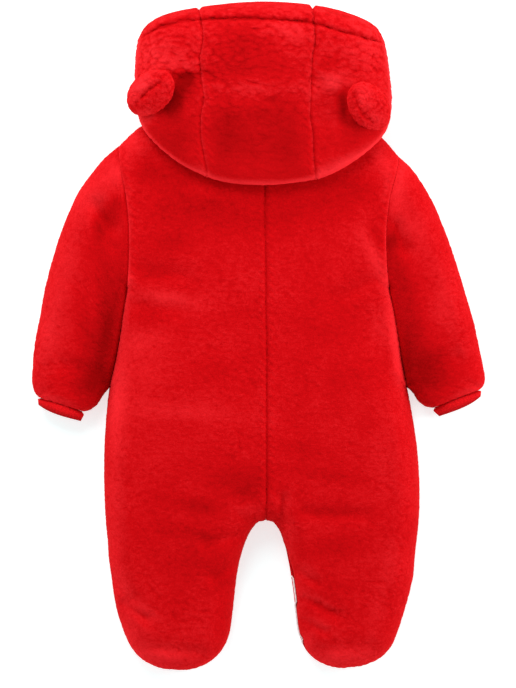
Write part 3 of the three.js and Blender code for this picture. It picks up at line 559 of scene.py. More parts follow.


# height = (coarse * height + fine * fineHeight) * curl * patch, and tone is a mix of both about 0.5:
# painted highlight on the tufts' tips and painted shade between them
def pileHeight(points, look):
    flat = points.reshape(-1, 3)
    drawn = flat / [look["long"], 1.0, 1.0]
    coarse = tufts(drawn, look["tuft"], look["seed"])
    fine = tufts(drawn, look["fine"], look["seed"] + 5)
    places, amounts = np.array(look["curl"], float).T
    patch = pilePatch["least"] + pilePatch["more"] * valueNoise(flat, pilePatch["size"], look["seed"] + 9)
    curl = np.interp(flat[:, 1], places, amounts) * patch
    height = (look["height"] * coarse + look["fineHeight"] * fine) * curl
    mixed = coarse * tuftPaintedShade["coarse"] + fine * tuftPaintedShade["fine"] - tuftPaintedShade["middle"]
    tone = 0.5 + mixed * curl
    return height.reshape(points.shape[:-1]), tone.reshape(points.shape[:-1])


seamLines = {
    "centre": [centreLine], "armhole": list(armholeLines.values()),
    "crevice": list(creviceLines.values()), "gusset": list(gussetLines.values()),
    "hem": [hemCurve], "fold": [hoodLine],
}

# Where the nap is stroked or crushed it looks lighter or darker, and the same patches hold painted
# shade and painted highlight: shadows beside the ears, darker inner sleeves, light rims and edges.
# Each patch: x, y, half length, half width, turn in degrees, and how much lighter, as
# strength * exp(-(distance / size)^2).
napAndPaintedLightPatches = {
    "body": [
        [-59, 141, 68, 26, 0, -0.13], [73, 150, 57, 22, 0, -0.12], [-95, 106, 24, 13, 0, -0.12],
        [-117, 69, 22, 8, -8, -0.2], [-102, 43, 33, 7, -4, 0.18], [-117, 21, 26, 10, -8, -0.12],
        [-131, -7, 24, 13, 20, 0.18], [-157, -64, 10, 68, 0, 0.28], [-76, -83, 64, 10, -6, 0.12],
        [129, 82, 8, 37, 22, 0.26], [148, 7, 7, 51, 6, 0.26], [89, 31, 31, 18, 0, -0.08],
        [-48, -42, 40, 18, 0, -0.07], [84, -48, 48, 24, 0, -0.07], [-21, -156, 33, 16, 0, -0.22],
        [37, -123, 37, 11, -10, -0.09], [78, -151, 53, 7, -9, -0.14], [-69, -185, 33, 9, -10, -0.24],
        [-80, -213, 29, 9, -10, -0.18], [81, -193, 42, 6, 0, -0.17], [-136, 213, 16, 14, -40, 0.26],
        [135, 194, 10, 20, 30, 0.22], [-148, 40, 7, 37, -4, 0.28], [-144, 64, 8, 10, 0, 0.22],
        [-125, -42, 29, 33, 0, 0.12], [140, 51, 8, 18, 15, 0.04], [-142, 161, 6, 44, 0, 0.12],
        [140, 164, 7, 18, 0, 0.16], [-103, 174, 26, 15, -20, -0.12], [-148, -70, 13, 44, 0, 0.09],
        [-48, -229, 28, 28, 0, -0.07], [42, -281, 9, 20, 0, 0.12], [34, -229, 6, 33, 0, 0.12],
        [150, -246, 15, 26, 0, 0.06], [70, -298, 13, 4, -35, -0.14], [138, -284, 13, 13, 0, -0.08],
        [7, 123, 40, 15, 0, -0.1], [-98, 101, 20, 11, 0, -0.07], [-87, 38, 33, 7, -12, 0.09],
        [108, 106, 9, 15, 0, 0.1], [133, 5, 9, 18, 0, 0.12], [-125, -342, 9, 11, 0, 0.1],
        [153, -20, 6, 44, 6, 0.22], [-148, -334, 13, 18, 30, 0.14], [-131, -317, 22, 22, 0, 0.1],
        [54, -257, 9, 10, 0, 0.16], [54, -334, 8, 13, 0, 0.18], [78, 7, 31, 15, 0, -0.08],
        [-15, -171, 15, 7, -10, -0.16], [129, 108, 7, 15, 20, -0.16], [-120, 178, 18, 13, 0, -0.12],
        [105, 165, 15, 11, 0, -0.14], [-48, 141, 51, 15, 0, -0.09], [51, 141, 51, 15, 0, -0.07],
        [-37, -222, 15, 4, 8, 0.1], [81, -229, 31, 15, 0, -0.11], [-14, -190, 15, 6, 0, 0.12],
        [31, -180, 6, 13, 0, 0.12], [-76, -248, 33, 18, 0, -0.1], [-40, -270, 15, 11, 25, -0.18],
        [-38, -310, 10, 31, -10, -0.1], [-156, -202, 9, 73, 0, 0.13], [-148, -279, 9, 29, 14, 0.16],
        [-124, -299, 18, 6, -34, 0.18], [-103, -350, 37, 10, 0, 0.28], [67, -289, 21, 4, -26, 0.2],
        [70, -316, 16, 4, -26, 0.16], [89, -273, 18, 11, 0, -0.1], [95, -350, 33, 10, 0, 0.28],
        [133, -290, 10, 46, -12, 0.12], [139, -136, 18, 55, 0, 0.08],
    ],
    "sleeve": [
        [-165, 13, 14, 57, -10, -0.42], [-180, -50, 24, 22, 0, -0.44], [-172, 112, 9, 12, 0, -0.2],
        [-172, 148, 11, 10, 0, 0.2], [-160, 57, 6, 33, -4, 0.1], [-183, -11, 11, 9, 0, -0.08],
        [-232, 7, 9, 22, 0, 0.1], [-232, -70, 9, 4, 0, 0.14], [216, -17, 15, 7, 0, 0.1],
        [147, 93, 8, 24, 0, -0.12], [158, 119, 8, 13, 0, 0.12], [-194, 178, 15, 24, -35, 0.1],
        [164, -20, 7, 29, 6, -0.22], [-191, 7, 10, 33, 0, -0.12], [-166, -4, 7, 33, -8, -0.12],
        [-166, 71, 18, 24, 0, -0.16], [-159, 143, 11, 12, 0, -0.26], [-175, 124, 6, 14, 0, -0.18],
        [-227, 13, 15, 51, -12, 0.2], [-212, 82, 15, 37, -18, 0.16], [-188, 150, 15, 22, -40, 0.22],
        [-155, 181, 22, 14, 40, 0.34], [-146, 183, 8, 29, 0, 0.2], [-221, -70, 22, 6, -15, 0.2],
        [147, 106, 8, 13, 0, -0.34], [158, 57, 11, 37, 12, -0.24], [170, 2, 13, 31, 12, -0.26],
        [184, -44, 24, 26, 0, -0.46], [146, 172, 15, 35, 0, 0.48], [171, 117, 13, 22, 20, 0.16],
        [206, 40, 14, 51, 14, 0.16], [228, -63, 22, 7, 20, 0.24],
    ],
    "hoodSide": [
        [-111, 306, 29, 18, 0, 0.18], [-81, 278, 14, 13, 0, -0.46], [-89, 264, 7, 13, -20, -0.34],
        [-91, 216, 33, 29, 0, -0.14], [-95, 253, 10, 16, -40, -0.5], [-87, 295, 22, 7, 0, 0.14],
        [-73, 284, 11, 7, 0, -0.2], [-84, 216, 18, 22, 0, -0.1], [-102, 196, 26, 6, -34, 0.22],
        [-65, 176, 11, 8, -20, 0.25], [118, 313, 24, 33, 0, 0.1], [122, 249, 22, 15, 0, 0.1],
        [81, 278, 16, 9, 0, 0.34], [78, 297, 11, 9, 0, -0.12], [92, 253, 6, 20, 4, -0.6],
        [116, 227, 18, 8, -15, -0.14], [87, 270, 7, 9, 0, 0.2], [-85, 278, 7, 10, -20, -0.2],
        [-78, 291, 9, 4, 0, 0.14], [-92, 242, 10, 10, 0, -0.12], [95, 186, 35, 4, 28, 0.22],
        [-120, 238, 14, 7, 35, 0.2], [-43, 174, 18, 6, -8, 0.16], [-21, 171, 51, 4, -3, 0.22],
        [-15, 282, 42, 7, 0, -0.1], [34, 267, 22, 6, 0, 0.1], [29, 172, 26, 6, 0, 0.16],
        [89, 214, 26, 15, 0, -0.1], [104, 230, 7, 11, 40, -0.26], [95, 190, 37, 7, 28, 0.28],
        [67, 176, 11, 8, 0, 0.2],
    ],
    "hoodCentre": [
        [-21, 315, 33, 29, 0, -0.22], [-4, 289, 48, 9, 0, -0.1], [-36, 216, 20, 40, 0, -0.3],
        [-7, 211, 18, 33, 0, -0.16], [30, 214, 22, 42, 0, -0.28], [-1, 245, 37, 13, 0, -0.14],
        [4, 269, 51, 7, 0, 0.1], [29, 333, 26, 10, 0, 0.14],
    ],
    "ear": [
        [-128, 271, 18, 9, 42, 0.42], [-124, 242, 9, 6, 0, 0.24], [114, 260, 9, 13, 0, 0.26],
        [125, 234, 11, 10, 0, 0.16],
    ],
}
# Beside a seam the pile is pressed down or stands out. The same lines carry painted shade and painted
# highlight: a light rim along the hood's fold, a light edge on the body and a darker sleeve beside it.
# Each: how much lighter, and how wide
seamPileAndPaintedLight = {
    "body": {"centre": [-0.10, 1.4], "armhole": [0.20, 1.8], "crevice": [0.26, 3.0]},
    "sleeve": {"armhole": [-0.10, 5.0], "crevice": [-0.10, 7.0]},
    "hoodSide": {"gusset": [-0.18, 1.8], "hem": [-0.11, 1.7], "fold": [0.48, 2.8]},
    "hoodCentre": {"gusset": [0.13, 2.6], "hem": [-0.22, 2.6], "fold": [0.56, 4.2]},
    "ear": {},
}


# The nap look: patches and seam lines, partly the nap's own tone and partly painted shade and painted
# highlight
def napAndPaintedLight(points, part):
    x, y = points[..., 0].ravel(), points[..., 1].ravel()
    shade = np.zeros_like(x)
    for patchX, patchY, length, width, turn, strength in napAndPaintedLightPatches[part]:
        c, s = np.cos(np.radians(turn)), np.sin(np.radians(turn))
        along = ((x - patchX) * c + (y - patchY) * s) / length
        aside = ((y - patchY) * c - (x - patchX) * s) / width
        shade += strength * np.exp(-along ** 2 - aside ** 2)
    for kind, (lighter, width) in seamPileAndPaintedLight[part].items():
        for line in seamLines[kind]:
            shade += lighter * np.exp(-(distanceTo(line, x, y) / width) ** 2)
    return shade.reshape(points.shape[:-1])


# Places from 0 to 1, closer together at both ends: t - ease * sin(2 pi t) / (2 pi)
def denseAtEnds(count, ease):
    t = np.linspace(0, 1, count)
    return t - ease * np.sin(2 * np.pi * t) / (2 * np.pi)


# Stations at even distances along the mean of two lines
def evenStations(first, last, lines, count):
    dense = np.linspace(first, last, 400)
    length = sum(np.linalg.norm(np.diff(line(dense), axis=0), axis=1) for line in lines)
    along = np.concatenate([[0], np.cumsum(length)])
    return np.interp(np.linspace(0, along[-1], count), along, dense)


def unit(vectors):
    return vectors / np.maximum(np.linalg.norm(vectors, axis=-1, keepdims=True), 1e-9)


# The slope of a grid along one axis, by differences of neighbours, round the ring if closed
def slopes(points, axis, closed):
    if closed:
        return np.roll(points, -1, axis) - np.roll(points, 1, axis)
    return np.gradient(points, axis=axis)


# Unit normals, down x across. On a level rim they lie flat, and on a seam they keep to the
# plane that stands on the seam line.
def shellNormals(points, facing, closed, rim, seam):
    down, across = slopes(points, 0, False), slopes(points, 1, closed)
    normal = unit(np.cross(down, across) * facing)
    normal[rim, 2] = 0
    ends = np.zeros(points.shape[:2], bool)
    ends[[0, -1]] = True
    along = np.where(ends[..., None], across, down)
    square = unit(np.stack([along[..., 1], -along[..., 0], 0 * along[..., 0]], -1))
    leaning = (normal * square).sum(-1, keepdims=True)
    normal = np.where(seam[..., None], normal - leaning * square, normal)
    return unit(normal)


def gridQuads(rows, columns, closed, start, flip):
    i, j = np.mgrid[0:rows - 1, 0:columns if closed else columns - 1]
    beside = (j + 1) % columns
    a, b = i * columns + j, (i + 1) * columns + j
    c, d = (i + 1) * columns + beside, i * columns + beside
    quads = np.stack([a, b, c, d], -1).reshape(-1, 4) + start
    return quads[:, ::-1] if flip else quads


# Quads of a tube of rings, and fans that close both its ends to two more points after them
def cappedTube(rings, around, flip=False):
    ring = np.arange(around)
    beside = (ring + 1) % around
    lastRing, pole = (rings - 1) * around, np.full(around, rings * around)
    fans = np.concatenate([np.stack([pole, ring, beside], -1),
                           np.stack([pole + 1, lastRing + beside, lastRing + ring], -1)])
    return gridQuads(rings, around, True, 0, flip), fans[:, ::-1] if flip else fans


# The open edges of a grid as loops of (row, column), each turning the same way round the cloth
def edgeLoops(rows, columns, closed):
    r, c = rows - 1, columns - 1
    if closed:
        ring = np.arange(columns)
        return [np.stack([0 * ring, -ring % columns], -1), np.stack([0 * ring + r, ring], -1)]
    down, across = np.arange(r), np.arange(c)
    return [np.concatenate([
        np.stack([down, 0 * down], -1),
        np.stack([0 * across + r, across], -1),
        np.stack([r - down, 0 * down + c], -1),
        np.stack([0 * across, c - across], -1),
    ])]


# A closed wall of cloth: a fine outer grid, an inner one with every coarse-th row and column,
# and a rim whose fans join each inner edge to the outer points beside it.
def makeWall(name, outer, inner, looks, facing, closed, coarse):
    rows, columns = outer.shape[:2]
    lining = inner[::coarse, ::coarse]
    innerRows, innerColumns = lining.shape[:2]
    innerStart = rows * columns
    quads = [gridQuads(rows, columns, closed, 0, facing < 0),
             gridQuads(innerRows, innerColumns, closed, innerStart, facing > 0)]
    fans = []
    for loop in edgeLoops(rows, columns, closed):
        fine = (loop[:, 0] * columns + loop[:, 1]).reshape(-1, coarse)
        following = np.roll(fine.ravel(), -1).reshape(-1, coarse)
        start = loop[::coarse] // coarse
        near = innerStart + start[:, 0] * innerColumns + start[:, 1]
        far = np.roll(near, -1)
        tip = np.where(np.arange(coarse) < coarse // 2, near[:, None], far[:, None])
        fans.append(np.stack([following, fine, tip], -1).reshape(-1, 3))
        fans.append(np.stack([fine[:, coarse // 2], near, far], -1))
    fans = np.concatenate(fans)
    fans = fans if facing > 0 else fans[:, ::-1]
    points = np.concatenate([outer.reshape(-1, 3), lining.reshape(-1, 3)])
    inside = np.full(lining.shape[0] * lining.shape[1], 0.5)
    looks = {key: np.concatenate([value.ravel(), inside]) for key, value in looks.items()}
    return makeMesh(name, points, np.concatenate(quads).tolist() + fans.tolist(), looks)


# looks are numbers for each point, read by the materials: pile is 1 on a tuft's tip and 0 beside it
# (painted highlight and shade), and nap is above or below 0.5 for the nap's tone and for painted shade and
# highlight
def makeMesh(name, points, faces, looks=None):
    mesh = bpy.data.meshes.new(name)
    mesh.from_pydata((points * metre).tolist(), [], faces)
    mesh.polygons.foreach_set("use_smooth", np.ones(len(mesh.polygons), bool))
    for key, values in (looks or {}).items():
        attribute = mesh.attributes.new(key, "FLOAT", "POINT")
        attribute.data.foreach_set("value", values.astype(np.float32))
    mesh.update()
    return newObject(name, mesh)


def newObject(name, data):
    piece = bpy.data.objects.new(name, data)
    bpy.context.scene.collection.objects.link(piece)
    return piece


# Cloth from its base surface: the pile stands along the normals and leans with the nap
def clothPiece(name, base, facing, look, part, seam, rim=None, closed=False, coarse=4, fur=1):
    rim = np.zeros_like(seam) if rim is None else rim
    normal = shellNormals(base, facing, closed, rim, seam)
    inner = base - normal * cut["cloth"]
    height, tone = pileHeight(base, look)
    height = (height - look["height"] * pileSunk) * fur
    nap = np.array([0.0, -1.0, 0.0]) * look["lean"]
    flat = (rim | seam)[..., None]
    outer = base + normal * height[..., None] + np.where(flat, 0, nap * height[..., None])
    outer[..., 2] = np.maximum(outer[..., 2], 0.0)
    inner[..., 2] = np.maximum(inner[..., 2], cut["liningLow"])
    # The nap look holds the nap's own tone together with painted shade and painted highlight
    looks = {"pile": tone, "nap": 0.5 + napAndPaintedLight(base, part)}
    return makeWall(name, outer, inner, looks, facing, closed, coarse)


# Body panels: rows and columns of the outer grid, how often the inner wall is read, how much
# closer the columns stand at the ends, and how furry the cloth and its rim are
bodyLayers = {
    "back": {"rows": 441, "columns": 113, "coarse": 4, "ease": 0.35, "fur": 1.0, "rimFur": 0.8,
             "neck": backNeck, "rimHeight": cut["sideSeam"], "facing": 1, "height": bodyTop},
    "front": {"rows": 161, "columns": 49, "coarse": 2, "ease": 0.75, "fur": 0.25, "rimFur": 0.25,
              "neck": frontNeck, "rimHeight": cut["sideSeam"] - cut["seamGap"], "facing": -1,
              "height": bodyUnder},
}
# Share of the width where the shoulder turns into the neck, and how many stations bend with it
neckLine = {"corner": 0.4, "lift": 4.5, "middle": 3}
placket = {"from": 18.4, "to": 21.6,
           "insets": [[17, 0], [18.3, 3.2], [19.55, 3.2], [19.8, 1.2], [21.1, 1.2], [21.25, 2.6],
                      [21.5, 2.6], [21.8, 1.0], [24, 0]]}


# How far the back's edge stands inside the front's along the right inseam
def placketInset(station):
    return np.interp(station, *np.array(placket["insets"]).T)


# A panel: each station is a straight row from the side to the centre line, lifted near the top
# by (1 - station / lift)^2 so that the first row follows the shoulder and the neck.
def bodyPanel(side, layerName):
    layer, half = bodyLayers[layerName], halves[side]
    last = len(half["rows"]) - 1
    stations = evenStations(0, last, [half["sideAt"], lambda s: innerAt(side, s)], layer["rows"])
    share = denseAtEnds(layer["columns"], layer["ease"])
    corner = neckLine["corner"]
    shoulderPoints, neckPoints = shoulders[side][::-1], layer["neck"][side]
    shoulder = curveThrough(shoulderPoints)(np.clip(share / corner, 0, 1) * (len(shoulderPoints) - 1))
    neck = curveThrough(neckPoints)(np.clip((share - corner) / (1 - corner), 0, 1) * (len(neckPoints) - 1))
    top = np.where((share <= corner)[:, None], shoulder, neck)
    outer, inner = half["sideAt"](stations), innerAt(side, stations)
    raised = np.clip(1 - stations / neckLine["middle"], 0, None) ** 2
    inner[:, 1] += (top[-1, 1] - half["rows"][0, 3]) * raised
    if layerName == "back" and side == "right":
        inner[:, 0] += placketInset(stations)
    base = outer[:, None] + (inner - outer)[:, None] * share[None, :, None]
    lift = np.clip(1 - stations / neckLine["lift"], 0, None)[:, None, None] ** 2
    base = base + (top - base[0])[None] * lift
    s, v = np.broadcast_arrays(stations[:, None], share[None, :])
    firstRow, lastRow = s == stations[0], s == stations[-1]
    rim = (v == 0) & (s >= cut["armpit"]) | firstRow & (v <= corner)
    rim = rim | (v == 1) & (s >= cut["crotch"]) | lastRow
    seam = ((v == 1) | (v == 0) | firstRow) & ~rim
    base[..., 2] = np.where(rim, layer["rimHeight"], layer["height"](base[..., 0], base[..., 1]))
    facing = -outward[side] * layer["facing"]
    fur = np.where(rim, layer["rimFur"], layer["fur"])
    return clothPiece(f"{layerName}_panel_{side}", base, facing, pile["body"], "body", seam, rim,
                      coarse=layer["coarse"], fur=fur)


# A sleeve is one tube. Each ring runs over the top from the outer edge to the body and back
# underneath, and the first rings bend to follow the armhole.
sleeveGrid = {"rings": 241, "over": 61, "under": 27, "ease": 0.5, "bent": 6, "fur": 1.0,
              "underFur": 0.35}
sleeveSet = {"down": 1.2, "width": 7.0}  # how far the sleeve lies below the body at the armhole


def sleevePiece(side):
    grid = sleeveGrid
    outerPoints = sleeveOuterPoints(side)
    outerAt = curveThrough(outerPoints)
    rings = evenStations(0, len(outerPoints) - 1, [outerAt, lambda r: sleeveInner(side, r)], grid["rings"])
    under = denseAtEnds(grid["under"] + 2, grid["ease"])[1:-1][::-1]
    share = np.concatenate([denseAtEnds(grid["over"], grid["ease"]), under])
    outer, inner = outerAt(rings), sleeveInner(side, rings)
    armhole = halves[side]["sideAt"](share * cut["armpit"])
    chord = outer[0] + (inner[0] - outer[0]) * share[:, None]
    base = outer[:, None] + (inner - outer)[:, None] * share[None, :, None]
    bend = np.clip(1 - rings / grid["bent"], 0, None)[:, None, None] ** 2
    base = base + (armhole - chord)[None] * bend
    columns = np.arange(len(share))[None, :]
    over = columns < grid["over"]
    edge = (columns == 0) | (columns == grid["over"] - 1)
    x, y = base[..., 0], base[..., 1]
    high, low = bodyTop(x, y), bodyUnder(x, y)
    fromBody = distanceTo(armholeLines[side], x.ravel(), y.ravel()).reshape(x.shape)
    high -= sleeveSet["down"] * np.exp(-(fromBody / sleeveSet["width"]) ** 2)
    base[..., 2] = np.where(edge, cut["sideSeam"], np.where(over, high, low))
    seam = np.zeros(base.shape[:2], bool)
    seam[[0, -1]] = True
    fur = np.where(over, grid["fur"], grid["underFur"]) * np.ones(seam.shape)
    return clothPiece(f"sleeve_tube_{side}", base, -outward[side], pile["body"], "sleeve", seam,
                      edge & ~seam, closed=True, fur=fur)


# A cuff is a flattened tube of fine rib knit with a rolled end, turn going round it and v along it.
# Its height is middle + lift * sin(turn), and its place across the sleeve
# 0.5 - (half + flare * smoothStep(v / flared)) * cos(turn). The end bulges by
# bulge * v^2 * sin(turn)^2, more towards the outer side. Its colour has painted shade along the ribs
# and darkens towards the end, painted shade too.
cuffLook = {"rows": 25, "turns": 240, "low": 3.4, "high": 26.0, "starts": 0.05, "ribs": 40,
            "ribHeight": 0.05, "swell": 1.6, "half": 0.47, "flare": 0.08, "flared": 0.35,
            "bulge": 2.4, "lopsided": 0.5, "rolled": 0.34, "roll": 0.22, "ribShade": 0.05,
            "endShade": 0.55, "tucked": 0.5}


def cuffPiece(side):
    look = cuffLook
    last = sleeveRings[side]["free"][-1]
    start, end = np.array([last[:2], last[2:]], float), np.array(cuffEnd[side], float)
    along = np.linspace(look["starts"], 1, look["rows"])[:, None, None]
    edges = start[None] + (end - start)[None] * along
    turn = 2 * np.pi * np.arange(look["turns"]) / look["turns"]
    v = along[..., 0]
    share = 0.5 - (look["half"] + look["flare"] * smoothStep(v / look["flared"])) * np.cos(turn)
    flat = edges[:, :1] + (edges[:, 1:] - edges[:, :1]) * share[..., None]
    middleHeight, lift = (look["low"] + look["high"]) / 2, (look["high"] - look["low"]) / 2
    onward = unit((end - start).mean(0))
    bulge = look["bulge"] * v ** 2 * np.sin(turn) ** 2 * (1 + look["lopsided"] * np.cos(turn))
    flat = flat + bulge[..., None] * onward
    rolled = look["rolled"] * np.exp(-((1 - v) / look["roll"]) ** 2)
    rounded = 1 - rolled + look["swell"] / lift * np.sin(np.pi * v)
    rib = look["ribHeight"] * np.sin(look["ribs"] * turn)[None, :]
    height = middleHeight + (lift * rounded + rib) * np.sin(turn)[None, :]
    base = np.dstack([flat, height])
    none = np.zeros(height.shape, bool)
    inner = base - shellNormals(base, -outward[side], True, none, none) * cut["ribbing"]
    inner[0, :, :2] += (base[0] - inner[0])[:, :2] * look["tucked"]
    waleShade = 0.5 + look["ribShade"] * np.sin(look["ribs"] * turn)
    looks = {"pile": waleShade - look["endShade"] * smoothStep((v - 0.5) / 0.5),
             "nap": np.full(height.shape, 0.5)}
    return makeWall(f"cuff_knit_{side}", base, inner, looks, -outward[side], True, 4)


# The hood's side pieces. Rows run from the brim to the gusset's fold over the back: over is how
# far down the gusset seam a row starts, fold how far round the outline it turns under, and under
# how far up the gusset's lower seam it ends; the first rows end at the front neck, the next at
# the back neck.
hoodRows = [
    [0, 0], [0.08, 0.06], [0.17, 0.115], [0.26, 0.16], [0.35, 0.215], [0.45, 0.28],
    [0.57, 0.38], [0.69, 0.5], [0.79, 0.635, 1], [0.87, 0.765, 0.62], [0.94, 0.88, 0.3],
    [0.983, 0.98, 0.05],
]
frontRows, neckRows = 6, 3
# Points over the hood and under the fold, and how much closer they stand towards the fold. The
# lower face has little fur from a few points past the fold.
hoodGrid = {
    "side": {"rows": 185, "over": 92, "under": 32, "swing": 0.25, "ease": 1.15, "underEase": 1.3},
    "centre": {"columns": 105, "over": 164, "under": 44, "swing": 0, "ease": 1.12, "underEase": 1.3,
               "columnEase": 0.3},
}
hoodBare = {"past": 8, "fur": 0.3}
neckUnder = {"y": 242.0, "dip": 3}


def overAndUnder(grid):
    u = np.linspace(0, 1, grid["over"] + 1)[:-1]
    u = u + grid["swing"] * np.sin(np.pi * u) * u * (1 - u)
    w = np.linspace(0, 1, grid["under"] + 1)[1:] ** grid["underEase"]
    return 1 - (1 - u) ** grid["ease"], w


# The inner end of each row, under the hood
def hoodEnds(side):
    front = curveThrough(frontNeck[side])(np.linspace(len(frontNeck[side]) - 1, 0, frontRows))
    front[:, 1] += 2 * cut["seamGap"]
    back = curveThrough(backNeck[side])
    fold = outlineAt(foldStation[side]) * [1, 1, 0]
    neck = np.array([gussetCorners["neck"][sides.index(side)], neckUnder["y"], 0.0])
    ends = [*front]
    for i, row in enumerate(hoodRows[frontRows:]):
        if len(row) == 2 or row[2] == 1:
            ends.append(back((i + 1) / neckRows))
        else:
            ends.append(fold + (neck - fold) * row[2])
    return np.array(ends)


def hoodSidePiece(side):
    grid = hoodGrid["side"]
    numbers = np.arange(len(hoodRows))
    overs, folds = np.array([row[:2] for row in hoodRows]).T
    corner = 0 if side == "left" else len(hoodOutline) - 1

    def seamAndFold(row):
        seam = gussetSeam(side, np.interp(row, numbers, overs))
        foldShare = np.interp(row, numbers, folds)
        return seam, outlineAt(corner + (foldStation[side] - corner) * foldShare)

    row = np.linspace(0, numbers[-1], 480)
    length = sum(np.linalg.norm(np.diff(line, axis=0), axis=1) for line in seamAndFold(row)[::-1])
    even = np.concatenate([[0], np.cumsum(length)])
    row = np.interp(np.linspace(0, even[-1], grid["rows"]), even, row)
    start, fold = seamAndFold(row)
    ends = hoodEnds(side)
    end = np.stack([np.interp(row, numbers, ends[:, k]) for k in range(3)], -1)
    u, w = overAndUnder(grid)
    upper = start[:, None] + (fold - start)[:, None] * u[None, :, None]
    straight = start[0] + (fold[0] - start[0]) * u[:, None]
    bulge = brimAt(straight[:, 0]) - straight[:, 1]
    bent = np.clip(1 - np.interp(row, numbers, overs) / brimSet["blend"], 0, 1) ** 2
    upper[..., 1] += bulge[None, :] * bent[:, None]
    lower = fold[:, None] + (end - fold)[:, None] * w[None, :, None]
    upper[..., 2] = hoodTop(upper[..., 0], upper[..., 1])
    onBack = np.clip(row - (frontRows - 2), 0, 1)[:, None]
    x, y = lower[..., 0], lower[..., 1]
    lower[..., 2] = hoodUnder(x, y, (underHood(x, y) + hoodLay["clear"]) * onBack)
    endX, endY = x[:, -1:], y[:, -1:]
    lower[:, -1, 2] = np.where(onBack[:, 0] < 1, bodyUnder(endX, endY)[:, 0],
                               bodyBase(endX, endY)[:, 0] + 2 * cut["seamGap"])
    base = np.concatenate([upper, fold[:, None], lower], axis=1)
    seam = np.zeros(base.shape[:2], bool)
    seam[:, 0] = seam[-1] = True
    seam[:, -1] = row > frontRows + 2
    fur = np.ones(seam.shape)
    fur[:, grid["over"] + hoodBare["past"]:] = hoodBare["fur"]
    return clothPiece(f"hood_panel_{side}", base, outward[side], pile["hood"], "hoodSide", seam, fur=fur)


# The hood's middle strip: from the brim over the crown to the fold, then back under to the neck
def hoodCentrePiece():
    grid = hoodGrid["centre"]
    share = denseAtEnds(grid["columns"], grid["columnEase"])

    def between(ends):
        return ends[0] + (ends[1] - ends[0]) * share

    brimX = between(gussetCorners["brim"])
    start = np.stack([brimX, brimAt(brimX), 0 * share], -1)
    fold = outlineAt(between([foldStation["left"], foldStation["right"]]))
    neckY = neckUnder["y"] - neckUnder["dip"] * np.sin(np.pi * share)
    neck = np.stack([between(gussetCorners["neck"]), neckY, 0 * share], -1)
    u, w = overAndUnder(grid)
    upper = start[None] + (fold - start)[None] * u[:, None, None]
    upper[..., 0] += wander("left", u)[:, None] * (1 - share) + wander("right", u)[:, None] * share
    lower = fold[None] + (neck - fold)[None] * w[:, None, None]
    upper[..., 2] = hoodTop(upper[..., 0], upper[..., 1])
    x, y = lower[..., 0], lower[..., 1]
    lower[..., 2] = hoodUnder(x, y, underHood(x, y) + hoodLay["clear"])
    lower[-1, :, 2] = bodyBase(x[-1:], y[-1:])[0] + 2 * cut["seamGap"]
    base = np.concatenate([upper, fold[None], lower])
    seam = np.zeros(base.shape[:2], bool)
    seam[:, [0, -1]] = True
    fur = np.ones(seam.shape)
    fur[grid["over"] + hoodBare["past"]:] = hoodBare["fur"]
    return clothPiece("hood_panel_centre", base, 1, pile["hood"], "hoodCentre", seam, fur=fur)


# Stuffed ears, each sewn of two halves. The seam is a crease along the ear, off its middle by off,
# bent by bend * cos(3 along) and ending at creased. The upper half is a dome, rise * cos(tilt), less
# the crease and its small puckers, and the lower one is shallower by flatter and sits on the hood.
ears = {
    "left": {"x": -117.5, "y": 265, "turn": 38, "length": 57, "width": 42, "middle": 64, "slope": 0.28,
             "crease": 4.6, "creased": 0.66, "off": 0.02, "bend": 0.10},
    "right": {"x": 120, "y": 250, "turn": -52, "length": 56, "width": 41, "middle": 64, "slope": -0.28,
              "crease": 3.0, "creased": 0.9, "off": -0.38, "bend": -0.12},
}
earLook = {"rings": 70, "spokes": 144, "rise": 13.5, "flatter": 2, "lifted": 0.36,
           "creaseWidth": 0.13, "creaseEnd": 0.4, "pucker": 0.9, "puckers": 17, "puckerWidth": 2.2,
           "onHood": 0.15, "clear": 0.6, "furFrom": -0.5, "furBlend": 0.4, "creasePaintedShade": 0.16}


# Points of a ball in units of its radii: rings from pole to pole, then the two poles
def ballPoints(rings, spokes):
    tilt = (np.pi * np.arange(1, rings) / rings)[:, None]
    turn = (2 * np.pi * np.arange(spokes) / spokes)[None, :]
    around = [np.append((np.sin(tilt) * way(turn)).ravel(), [0.0, 0.0]) for way in (np.cos, np.sin)]
    return (*around, np.append((np.cos(tilt) + 0 * turn).ravel(), [1.0, -1.0]))


